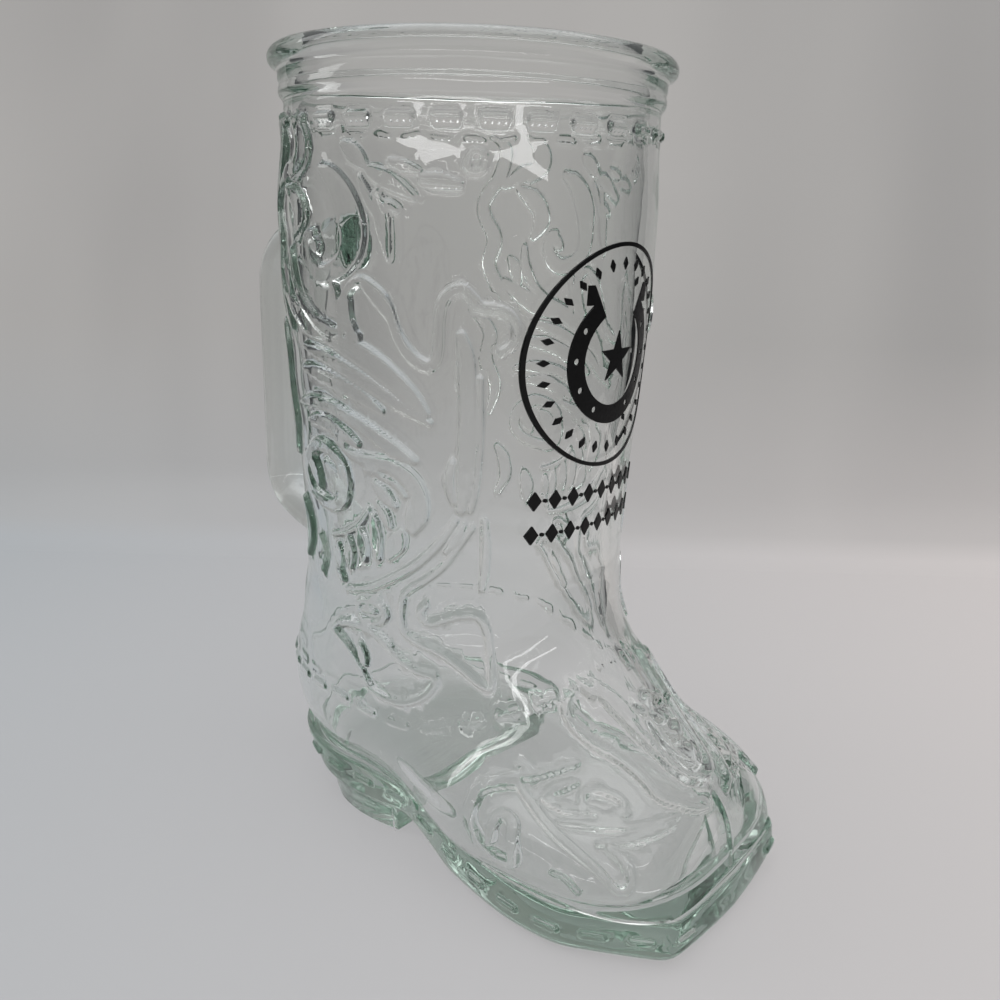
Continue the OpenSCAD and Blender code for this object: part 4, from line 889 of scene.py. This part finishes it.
def inner_rings():
    size = sizes()
    shares = np.linspace(0, 1, INNER_COLUMNS//2 + 1)
    lip_radius = LIP_SHARES[0][0]*size.bead_diameter/2
    rings = []
    for z in np.linspace(collar_foot() + BORE_RISE, size.ankle_height, INNER_SHAFT_ROWS):
        share = ramp((z - size.ankle_height)/shaft_span())
        radius = mix(float(shaft_radius(z)) - size.wall, lip_radius, share)
        rings.append(resampled(circle_line(radius, z), shares))
    for s in np.linspace(1, CAVITY_FLOOR_SHARE, INNER_FOOT_ROWS)[1:]:
        front = size.wall*float(row_value(CAVITY_FRONT_SHARES, s))
        side = size.wall*mix(LOW_WALL_SHARE, 1, ramp(s/LOW_WALL_TOP_SHARE))
        rings.append(resampled(foot_line(s, side, front), shares))
    last = rings[-1]
    middle = np.array([last[:, 0].min()*0.5 + last[:, 0].max()*0.5, 0, 0])
    for shrink, sink in CAVITY_FLOOR_SHARES:
        ring = middle + (last - middle)*shrink
        ring[:, 2] = np.interp(ring[:, 0], *floor_profile(last)) - sink*size.sole_thickness
        rings.append(ring)
    return rings


def floor_profile(ring):
    """Height along x of a ring, so that the floor inside it follows its fall."""
    order = np.argsort(ring[:, 0])
    return ring[order, 0], ring[order, 2]


def handle_rings():
    path = np.array(HANDLE_PATH_SHARES)*sizes().toe_reach
    line = spline(np.column_stack([path[:, 0], np.zeros(len(path)), path[:, 1]]))[::HANDLE_STEP]
    runs = run_lengths(line)
    along = np.gradient(line, axis=0)
    along /= np.linalg.norm(along, axis=1)[:, None]
    turn = np.linspace(0, 2*math.pi, HANDLE_COLUMNS + 1)[:-1]
    rings = []
    for place, way, run in zip(line, along, runs):
        root = ramp(1 - min(run, runs[-1] - run)/HANDLE_ROOT_RUN)
        radius = sizes().bar_diameter/2*mix(1, HANDLE_ROOT_SHARE, root**HANDLE_FLARE_POWER)
        out = np.array([-way[2], 0, way[0]])
        side = np.array([0, 1, 0])
        rings.append(place + radius*(np.cos(turn)[:, None]*out + np.sin(turn)[:, None]*side))
    return rings


def all_outer(verts, skin_mark):
    return all(round(vert[skin_mark]) == OUTER_SKIN for vert in verts)


def cut_hole(bm, centre, radius):
    """Opens the back of the skin round a root of the handle and returns the hole's edges."""
    centre = Vector(centre)
    skin_mark = bm.verts.layers.float["skin"]
    doomed = []
    for face in bm.faces:
        middle = face.calc_center_median()
        across = Vector((0, middle.y - centre.y, middle.z - centre.z)).length
        if middle.x < 0 and across < radius and all_outer(face.verts, skin_mark):
            doomed.append(face)
    bmesh.ops.delete(bm, geom=doomed, context="FACES")
    reach = radius*HOLE_REACH_SHARE
    rim = [edge for edge in bm.edges if edge.is_boundary and all_outer(edge.verts, skin_mark)
           and all((vert.co - centre).length < reach for vert in edge.verts)]
    for vert in {vert for edge in rim for vert in edge.verts}:
        across = Vector((0, vert.co.y - centre.y, vert.co.z - centre.z))
        settled = across.normalized()*radius
        vert.co.y = centre.y + settled.y
        vert.co.z = centre.z + settled.z
    return rim


def close_bottom(bm, placed, row, columns):
    """Closes the underside, cuts it at the heel's front and returns the flat faces behind the cut."""
    size = sizes()
    half = columns//2
    before = set(bm.faces)
    chains = []
    for first, last in ((1, half - 1), (half + 1, columns - 1)):
        for column in range(first, last):
            vert = placed[row, column]
            after = placed[row, column + 1]
            chains += [edge for edge in vert.link_edges if edge.other_vert(vert) == after]
    bmesh.ops.bridge_loops(bm, edges=chains)
    open_edges = [edge for edge in bm.edges if edge.is_boundary
                  and all(vert.co.z < size.heel_height*HEEL_REACH_SHARE for vert in edge.verts)]
    bmesh.ops.holes_fill(bm, edges=open_edges, sides=4)
    bottom = [face for face in bm.faces if face not in before]
    geometry = set(bottom)
    for face in bottom:
        geometry.update(face.edges)
        geometry.update(face.verts)
    bmesh.ops.bisect_plane(
        bm, geom=list(geometry), dist=WELD, plane_co=(size.heel_front, 0, 0), plane_no=(1, 0, 0))
    bmesh.ops.triangulate(bm, faces=[face for face in bm.faces if len(face.verts) > 4])
    bottom = []
    for face in bm.faces:
        middle = face.calc_center_median()
        behind = middle.x < size.heel_front and middle.z < size.heel_height + FLAT_SLACK
        if face not in before and behind and abs(face.normal.z) > FLAT_SHARE:
            bottom.append(face)
    return bottom


def draw_heel(bm, bottom):
    size = sizes()
    bmesh.ops.inset_region(bm, faces=bottom, thickness=HEEL_STEP, use_boundary=True)
    grown = bmesh.ops.extrude_face_region(bm, geom=bottom)
    bmesh.ops.delete(bm, geom=[face for face in bottom if face.is_valid], context="FACES")
    low = [item for item in grown["geom"] if isinstance(item, bmesh.types.BMVert)]
    for vert in low:
        vert.co.z = 0
        vert.co.x = mix(vert.co.x, size.heel_front, HEEL_BACK_TAPER_SHARE)
        vert.co.y *= 1 - HEEL_TAPER_SHARE
    low_faces = [item for item in grown["geom"] if isinstance(item, bmesh.types.BMFace)]
    low_set = set(low_faces)
    rim = [edge for face in low_faces for edge in face.edges
           if sum(other in low_set for other in edge.link_faces) == 1]
    bmesh.ops.bevel(
        bm, geom=rim, offset=HEEL_ROUNDING, affect="EDGES", segments=HEEL_SEGMENTS, profile=0.5,
        material=-1, clamp_overlap=True)


def wave_bore(verts):
    """The plunger leaves slow waves in the bore."""
    depth = relief().wave_height
    for vert in verts:
        place = vert.co*WAVE_SCALE
        vert.co += vert.normal*depth*noise.noise(Vector((place.x, place.y, place.z*WAVE_STRETCH_SHARE)))


def make_piece(name, bm, material):
    mesh = bpy.data.meshes.new(name)
    bm.to_mesh(mesh)
    bm.free()
    piece = bpy.data.objects.new(name, mesh)
    bpy.context.scene.collection.objects.link(piece)
    mesh.materials.append(material)
    mesh.polygons.foreach_set("use_smooth", [True]*len(mesh.polygons))
    return piece


def outer_skin(bm):
    """The outside, with small faces only along the raised lines."""
    columns = finish().columns
    stations = outer_stations()
    table = outer_table(stations, column_shares(columns, FINER), FINER)
    grid_skin(bm, table[::FINER, ::FINER], OUTER_SKIN)
    bmesh.ops.recalc_face_normals(bm, faces=list(bm.faces))
    field = StrokeField(all_strokes())
    refine(bm, table, FINER, lambda place: field.gap(place) < LEVEL_MARGINS[0])
    refine(bm, table, FINER, lambda place: field.edge_gap(place) < LEVEL_MARGINS[1])
    bm.normal_update()
    outer = placed_verts(bm, OUTER_SKIN, columns)
    if outer[SIDE_ROW, 0].normal.x < 0:
        bmesh.ops.reverse_faces(bm, faces=list(bm.faces))
        bm.normal_update()
    row_mark = bm.verts.layers.float["row"]
    lower = [vert for vert in bm.verts if vert[row_mark] >= len(LIP_SHARES) - 1]
    lifts = [(vert, vert.normal*field.height(vert.co)) for vert in lower]
    for vert, lift in lifts:
        vert.co += lift
    return outer, len(stations) - 1


def glass_skin():
    bm = bmesh.new()
    for name in MARKS:
        bm.verts.layers.float.new(name)
    columns = finish().columns
    outer, last_row = outer_skin(bm)
    draw_heel(bm, close_bottom(bm, outer, last_row, columns))
    inner_rows = inner_rings()
    inner = grid_skin(bm, inner_rows, INNER_SKIN)
    lip_rim = ring_edges(outer, 0, columns)
    bm.normal_update()
    wave_bore([vert for (row, _), vert in inner.items() if 0 < row < len(inner_rows) - 1])
    bmesh.ops.bridge_loops(bm, edges=ring_edges(inner, 0, INNER_COLUMNS) + lip_rim)
    floor_rim = ring_edges(inner, len(inner_rows) - 1, INNER_COLUMNS)
    bmesh.ops.holes_fill(bm, edges=floor_rim, sides=INNER_COLUMNS)
    rings = handle_rings()
    upper, lower = rings[0].mean(axis=0), rings[-1].mean(axis=0)
    upper_hole = cut_hole(bm, upper, HANDLE_HOLE)
    lower_hole = cut_hole(bm, lower - np.array([0, 0, LOWER_HOLE_DROP]), HANDLE_HOLE)
    handle = grid_skin(bm, rings, HANDLE_SKIN)
    for hole, row in ((upper_hole, 0), (lower_hole, len(rings) - 1)):
        bmesh.ops.bridge_loops(bm, edges=hole + ring_edges(handle, row, HANDLE_COLUMNS))
    bmesh.ops.recalc_face_normals(bm, faces=list(bm.faces))
    open_edges = [edge for edge in bm.edges if not edge.is_manifold]
    if open_edges:
        raise RuntimeError(f"the glass is open along {len(open_edges)} edges")
    return bm


# Materials
def feed(tree, node, feeds):
    """Links each input to a socket, or sets it to a value."""
    for place, value in feeds.items():
        if isinstance(value, bpy.types.NodeSocket):
            tree.links.new(value, node.inputs[place])
        else:
            node.inputs[place].default_value = value


def add_node(tree, kind, feeds=None, **settings):
    node = tree.nodes.new("ShaderNode" + kind)
    for name, value in settings.items():
        setattr(node, name, value)
    feed(tree, node, feeds or {})
    return node


def add_ramp(tree, value, stops):
    """A colour for a value, from stops of a position and a colour."""
    shades = add_node(tree, "ValToRGB", {"Fac": value})
    elements = shades.color_ramp.elements
    while len(elements) < len(stops):
        elements.new(0.5)
    for element, (position, colour) in zip(elements, stops):
        element.position = position
        element.color = (*colour, 1)
    return shades


def mixed_colour(tree, factor, first, second, **settings):
    """A Mix node takes its colours at inputs 6 and 7 and gives one at output 2."""
    feeds = {"Factor": factor, 6: first, 7: second}
    return add_node(tree, "Mix", feeds, data_type="RGBA", **settings).outputs[2]


def mixed_shader(tree, factor, first, second):
    return add_node(tree, "MixShader", {"Fac": factor, 1: first, 2: second}).outputs["Shader"]


def shaded(colour, shares):
    return [value*share for value, share in zip(colour, shares)]


def new_material(name):
    material = bpy.data.materials.new(name)
    material.use_nodes = True
    tree = material.node_tree
    return material, tree, tree.nodes["Principled BSDF"]


def pressed_surface_group():
    """Slow waves and fine handling marks, as a height and a roughness, built once."""
    if SURFACE_NAME in bpy.data.node_groups:
        return bpy.data.node_groups[SURFACE_NAME]
    group = bpy.data.node_groups.new(SURFACE_NAME, "ShaderNodeTree")
    for name, value in SURFACE_INPUTS.items():
        socket = group.interface.new_socket(name=name, in_out="INPUT", socket_type="NodeSocketFloat")
        socket.default_value = value
    for name in ("Height", "Roughness"):
        group.interface.new_socket(name=name, in_out="OUTPUT", socket_type="NodeSocketFloat")
    entry = group.nodes.new("NodeGroupInput").outputs
    leave = group.nodes.new("NodeGroupOutput")
    place = add_node(group, "TexCoord").outputs["Object"]
    waves = add_node(group, "TexNoise", {
        "Vector": place, "Scale": entry["Wave Scale"], "Detail": WAVE_DETAIL})
    marks = add_node(group, "TexNoise", {
        "Vector": place, "Scale": entry["Mark Scale"], "Detail": MARK_DETAIL})
    spread = add_node(group, "MapRange", {
        "Value": marks.outputs["Fac"],
        "From Min": MARK_RANGE_SHARES[0], "From Max": MARK_RANGE_SHARES[1],
        "To Min": entry["Smooth"], "To Max": entry["Rough"]})
    feed(group, leave, {"Height": waves.outputs["Fac"], "Roughness": spread.outputs["Result"]})
    return group


def press_surface(tree, shader, settings, bump_settings):
    """Gives a shader the group's roughness and bump, and returns the group's height."""
    skin = add_node(tree, "Group", node_tree=pressed_surface_group())
    feed(tree, skin, settings)
    bump = add_node(tree, "Bump", {"Height": skin.outputs["Height"], **bump_settings})
    feed(tree, shader, {"Roughness": skin.outputs["Roughness"], "Normal": bump.outputs["Normal"]})
    return skin.outputs["Height"]


def glass_material():
    material, tree, shader = new_material("Pressed Soda Glass")
    feed(tree, shader, {"Base Color": GLASS_COLOUR, "Transmission Weight": 1.0, "IOR": GLASS_IOR})
    press_surface(tree, shader, GLASS_SURFACE, GLASS_BUMP)
    depth = add_node(tree, "VolumeAbsorption", {
        "Color": (*finish().glass_tint, 1), "Density": finish().tint_density})
    feed(tree, tree.nodes["Material Output"], {"Volume": depth.outputs["Volume"]})
    return material


def enamel_material():
    material, tree, shader = new_material("Fired Black Enamel")
    height = press_surface(tree, shader, ENAMEL_SURFACE, ENAMEL_BUMP)
    colour = finish().enamel_colour
    shades = add_ramp(tree, height, [(0, colour), (1, shaded(colour, ENAMEL_LIGHT_SHARES))])
    feed(tree, shader, {"Base Color": shades.outputs["Color"], "Specular IOR Level": ENAMEL_SHINE_SHARE})
    return material


def cloth_colour(tree):
    """The ground's colour with painted light across it, and above it the hanging part's with painted fold
    shade.
    """
    turned = add_node(tree, "Mapping", {
        "Vector": add_node(tree, "TexCoord").outputs["Object"],
        "Rotation": (0, 0, -math.radians(CAMERA_TURNS[0]))}).outputs["Vector"]
    axes = add_node(tree, "SeparateXYZ", {"Vector": turned}).outputs
    # Painted light: the ground turns darker and cooler to the camera's left and brighter and warmer to its
    # right
    across = add_node(tree, "MapRange", {
        "Value": axes["X"], "From Min": -GROUND_SHADE_REACH, "From Max": GROUND_SHADE_REACH})
    colour = finish().ground_colour
    ground = add_ramp(tree, across.outputs["Result"], [
        (0, shaded(colour, GROUND_SHADED_SHARES)), (1, shaded(colour, GROUND_LIT_SHARES))])
    # Painted shade and light: a noise makes the hanging part darker and lighter, like shaded and lit folds
    fold_shade_place = add_node(tree, "Mapping", {"Vector": turned, "Scale": FOLD_SHADE_SCALES})
    folds = add_node(tree, "TexNoise", {"Vector": fold_shade_place.outputs["Vector"], **FOLD_SHADE_NOISE})
    colour = finish().backdrop_colour
    hanging = add_ramp(tree, folds.outputs["Fac"], [
        (FOLD_SHADE_RANGE_SHARES[0], shaded(colour, FOLD_PAINTED_SHADE_SHARES)),
        (FOLD_SHADE_RANGE_SHARES[1], shaded(colour, FOLD_PAINTED_LIGHT_SHARES))])
    height = add_node(tree, "MapRange", {"Value": axes["Z"], "From Max": HORIZON_FADE})
    rise = add_ramp(tree, height.outputs["Result"], HORIZON_STOPS)
    return mixed_colour(tree, rise.outputs["Color"], ground.outputs["Color"], hanging.outputs["Color"])


def cloth_material():
    """Pale cloth that the camera and the glass see at its own colour, clear from behind and below."""
    material, tree, shader = new_material("Backdrop Cloth")
    colour = cloth_colour(tree)
    feed(tree, shader, {"Base Color": colour, "Roughness": CLOTH_ROUGHNESS})
    glow = add_node(tree, "Emission", {"Color": colour})
    rays = add_node(tree, "LightPath").outputs
    seen = rays["Is Camera Ray"]
    for kind in ("Is Glossy Ray", "Is Transmission Ray"):
        seen = add_node(tree, "Math", {0: seen, 1: rays[kind]}, operation="MAXIMUM").outputs["Value"]
    share = add_node(tree, "Math", {0: seen, 1: GLOW_SHARE}, operation="MULTIPLY")
    front = mixed_shader(tree, share.outputs["Value"], shader.outputs["BSDF"], glow.outputs["Emission"])
    turned_away = add_node(tree, "NewGeometry").outputs["Backfacing"]
    clear = add_node(tree, "BsdfTransparent").outputs["BSDF"]
    feed(tree, tree.nodes["Material Output"], {"Surface": mixed_shader(tree, turned_away, front, clear)})
    return material


# Stage
def add_floor(cloth):
    bm = bmesh.new()
    bmesh.ops.create_grid(bm, x_segments=2, y_segments=2, size=FLOOR_SIZE)
    bmesh.ops.translate(bm, verts=bm.verts, vec=(0, 0, -FLOOR_GAP))
    make_piece("cloth_ground", bm, cloth)


def add_backdrop(cloth):
    """The same cloth, curving up from the ground behind the boot and hanging in soft folds."""
    bm = bmesh.new()
    made = bmesh.ops.create_grid(bm, x_segments=BACKDROP_COLUMNS, y_segments=BACKDROP_ROWS, size=1)
    right, ahead, _ = camera_axes()
    side = Vector((right.x, right.y, 0)).normalized()
    back = Vector((ahead.x, ahead.y, 0)).normalized()
    quarter = COVE_RADIUS*math.pi/2
    for vert in made["verts"]:
        across = vert.co.x*BACKDROP_HALF_WIDTH
        run = (vert.co.y + 1)/2*BACKDROP_HEIGHT
        turn = min(run/COVE_RADIUS, math.pi/2)
        reach = BACKDROP_REACH - COVE_RADIUS*(1 - math.sin(turn))
        up = COVE_RADIUS*(1 - math.cos(turn)) + max(0, run - quarter) - FLOOR_GAP*BACKDROP_GAP_SHARE
        spot = Vector((across*FOLD_RATES[0] + up*FOLD_RATES[1], up*FOLD_RATES[2], FOLD_SEED))
        fold = noise.noise(spot)*FOLD_DEPTH*quick_ramp(up/COVE_RADIUS)
        place = back*(reach + fold) + side*across
        vert.co = Vector((place.x, place.y, up))
    make_piece("cloth_backdrop", bm, cloth)


def camera_axes():
    """Right, ahead and up of the camera, from its four angles."""
    azimuth, pitch, roll, yaw = [math.radians(value) for value in CAMERA_TURNS]
    right = Vector((math.cos(azimuth), math.sin(azimuth), 0))
    ahead = Vector((-math.sin(azimuth), math.cos(azimuth), 0))
    up = Vector((0, 0, 1))
    ahead, right = math.cos(yaw)*ahead + math.sin(yaw)*right, math.cos(yaw)*right - math.sin(yaw)*ahead
    ahead, up = math.cos(pitch)*ahead - math.sin(pitch)*up, math.cos(pitch)*up + math.sin(pitch)*ahead
    right, up = math.cos(roll)*right + math.sin(roll)*up, math.cos(roll)*up - math.sin(roll)*right
    return right, ahead, up


def add_camera():
    data = bpy.data.cameras.new("photo_camera")
    data.sensor_width = CAMERA_SENSOR
    data.lens = CAMERA_LENS
    data.clip_start = CAMERA_CLIP
    camera = bpy.data.objects.new("photo_camera", data)
    right, ahead, up = camera_axes()
    turn = Matrix((right, up, -ahead)).transposed().to_4x4()
    camera.matrix_world = Matrix.Translation(Vector(CAMERA_PLACE)) @ turn
    bpy.context.scene.collection.objects.link(camera)
    bpy.context.scene.camera = camera


def add_lamp(name, place, aim, width, height, power):
    data = bpy.data.lights.new(name, "AREA")
    data.shape = "RECTANGLE"
    data.size = width
    data.size_y = height
    data.energy = power
    lamp = bpy.data.objects.new(name, data)
    lamp.location = Vector(place)
    lamp.rotation_euler = (Vector(aim) - Vector(place)).to_track_quat("-Z", "Y").to_euler()
    bpy.context.scene.collection.objects.link(lamp)


def add_world():
    """A room that is bright overhead, pale behind the camera and dim at the sides."""
    world = bpy.data.worlds.new("soft_room")
    world.use_nodes = True
    tree = world.node_tree
    direction = add_node(tree, "TexCoord").outputs["Generated"]
    axes = add_node(tree, "SeparateXYZ", {"Vector": direction}).outputs
    shades = add_ramp(tree, axes["Z"], WORLD_STOPS)
    shades.color_ramp.interpolation = "EASE"
    camera_side = Vector((CAMERA_PLACE[0], CAMERA_PLACE[1], 0)).normalized()
    toward = add_node(tree, "VectorMath", {0: direction, 1: camera_side}, operation="DOT_PRODUCT")
    front = add_node(tree, "MapRange", {
        "Value": toward.outputs["Value"],
        "From Min": ROOM_SPREAD_SHARES[0], "From Max": ROOM_SPREAD_SHARES[1]})
    pale = (*finish().backdrop_colour, 1)
    room = mixed_colour(tree, front.outputs["Result"], shades.outputs["Color"], pale, blend_type="LIGHTEN")
    camera_ray = add_node(tree, "LightPath").outputs["Is Camera Ray"]
    feed(tree, tree.nodes["Background"], {
        "Color": mixed_colour(tree, camera_ray, room, pale), "Strength": WORLD_STRENGTH})
    bpy.context.scene.world = world


class OBJECT_OT_glass_boot_camera(bpy.types.Operator):
    """Place the camera and the soft studio light"""
    bl_idname = "object.glass_boot_camera"
    bl_label = "Camera and Light"

    def execute(self, context):
        add_camera()
        add_world()
        for lamp in LAMPS:
            add_lamp(*lamp)
        context.scene.view_settings.view_transform = "Standard"
        # Thick glass turns light back inside many times
        context.scene.cycles.max_bounces = LIGHT_BOUNCES
        context.scene.cycles.transmission_bounces = LIGHT_BOUNCES
        context.scene.cycles.glossy_bounces = LIGHT_BOUNCES
        return {"FINISHED"}


class OBJECT_OT_glass_boot_stage(bpy.types.Operator):
    """Add the cloth ground and its hanging part"""
    bl_idname = "object.glass_boot_stage"
    bl_label = "Ground and Backdrop"

    def execute(self, context):
        cloth = cloth_material()
        add_floor(cloth)
        add_backdrop(cloth)
        return {"FINISHED"}


class OBJECT_OT_glass_boot_skin(bpy.types.Operator):
    """Build the closed glass skin with its relief, handle and bore"""
    bl_idname = "object.glass_boot_skin"
    bl_label = "Pressed Glass"

    def execute(self, context):
        skin = make_piece("pressed_glass_boot", glass_skin(), glass_material())
        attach(skin, "root")
        relief_nodes = [f"{side}_{name}" for side in ("near", "far") for name in SHAFT_RELIEF + FOOT_RELIEF]
        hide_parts(*GLASS_REGIONS, *STITCH_REGIONS, *relief_nodes, *VAMP_RELIEF)
        return {"FINISHED"}


class OBJECT_OT_glass_boot_print(bpy.types.Operator):
    """Give the printed pieces their fired enamel"""
    bl_idname = "object.glass_boot_print"
    bl_label = "Fired Print"

    def execute(self, context):
        enamel = enamel_material()
        for name in PRINTS:
            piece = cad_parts[name]
            piece.data.materials.clear()
            piece.data.materials.append(enamel)
        return {"FINISHED"}


OPERATORS = [
    OBJECT_OT_glass_boot_camera, OBJECT_OT_glass_boot_stage, OBJECT_OT_glass_boot_skin,
    OBJECT_OT_glass_boot_print,
]


class VIEW3D_PT_glass_boot(bpy.types.Panel):
    """Steps that build the glass boot, in order"""
    bl_idname = "VIEW3D_PT_glass_boot"
    bl_label = "Glass Boot"
    bl_space_type = "VIEW_3D"
    bl_region_type = "UI"
    bl_category = "Glass Boot"

    def draw(self, context):
        for operator in OPERATORS:
            self.layout.operator(operator.bl_idname)
        for group in (sizes(), relief(), finish()):
            box = self.layout.box()
            for name in group.__annotations__:
                box.prop(group, name)


CLASSES = [GlassBootSizes, GlassBootRelief, GlassBootFinish, *OPERATORS, VIEW3D_PT_glass_boot]


def register():
    for cls in CLASSES:
        bpy.utils.register_class(cls)
    bpy.types.Scene.glass_boot_sizes = PointerProperty(type=GlassBootSizes)
    bpy.types.Scene.glass_boot_relief = PointerProperty(type=GlassBootRelief)
    bpy.types.Scene.glass_boot_finish = PointerProperty(type=GlassBootFinish)


def unregister():
    del bpy.types.Scene.glass_boot_finish
    del bpy.types.Scene.glass_boot_relief
    del bpy.types.Scene.glass_boot_sizes
    for cls in reversed(CLASSES):
        bpy.utils.unregister_class(cls)


def main():
    register()
    bpy.ops.object.glass_boot_camera()
    bpy.ops.object.glass_boot_stage()
    bpy.ops.object.glass_boot_skin()
    bpy.ops.object.glass_boot_print()


if __name__ == "__main__":
    main()
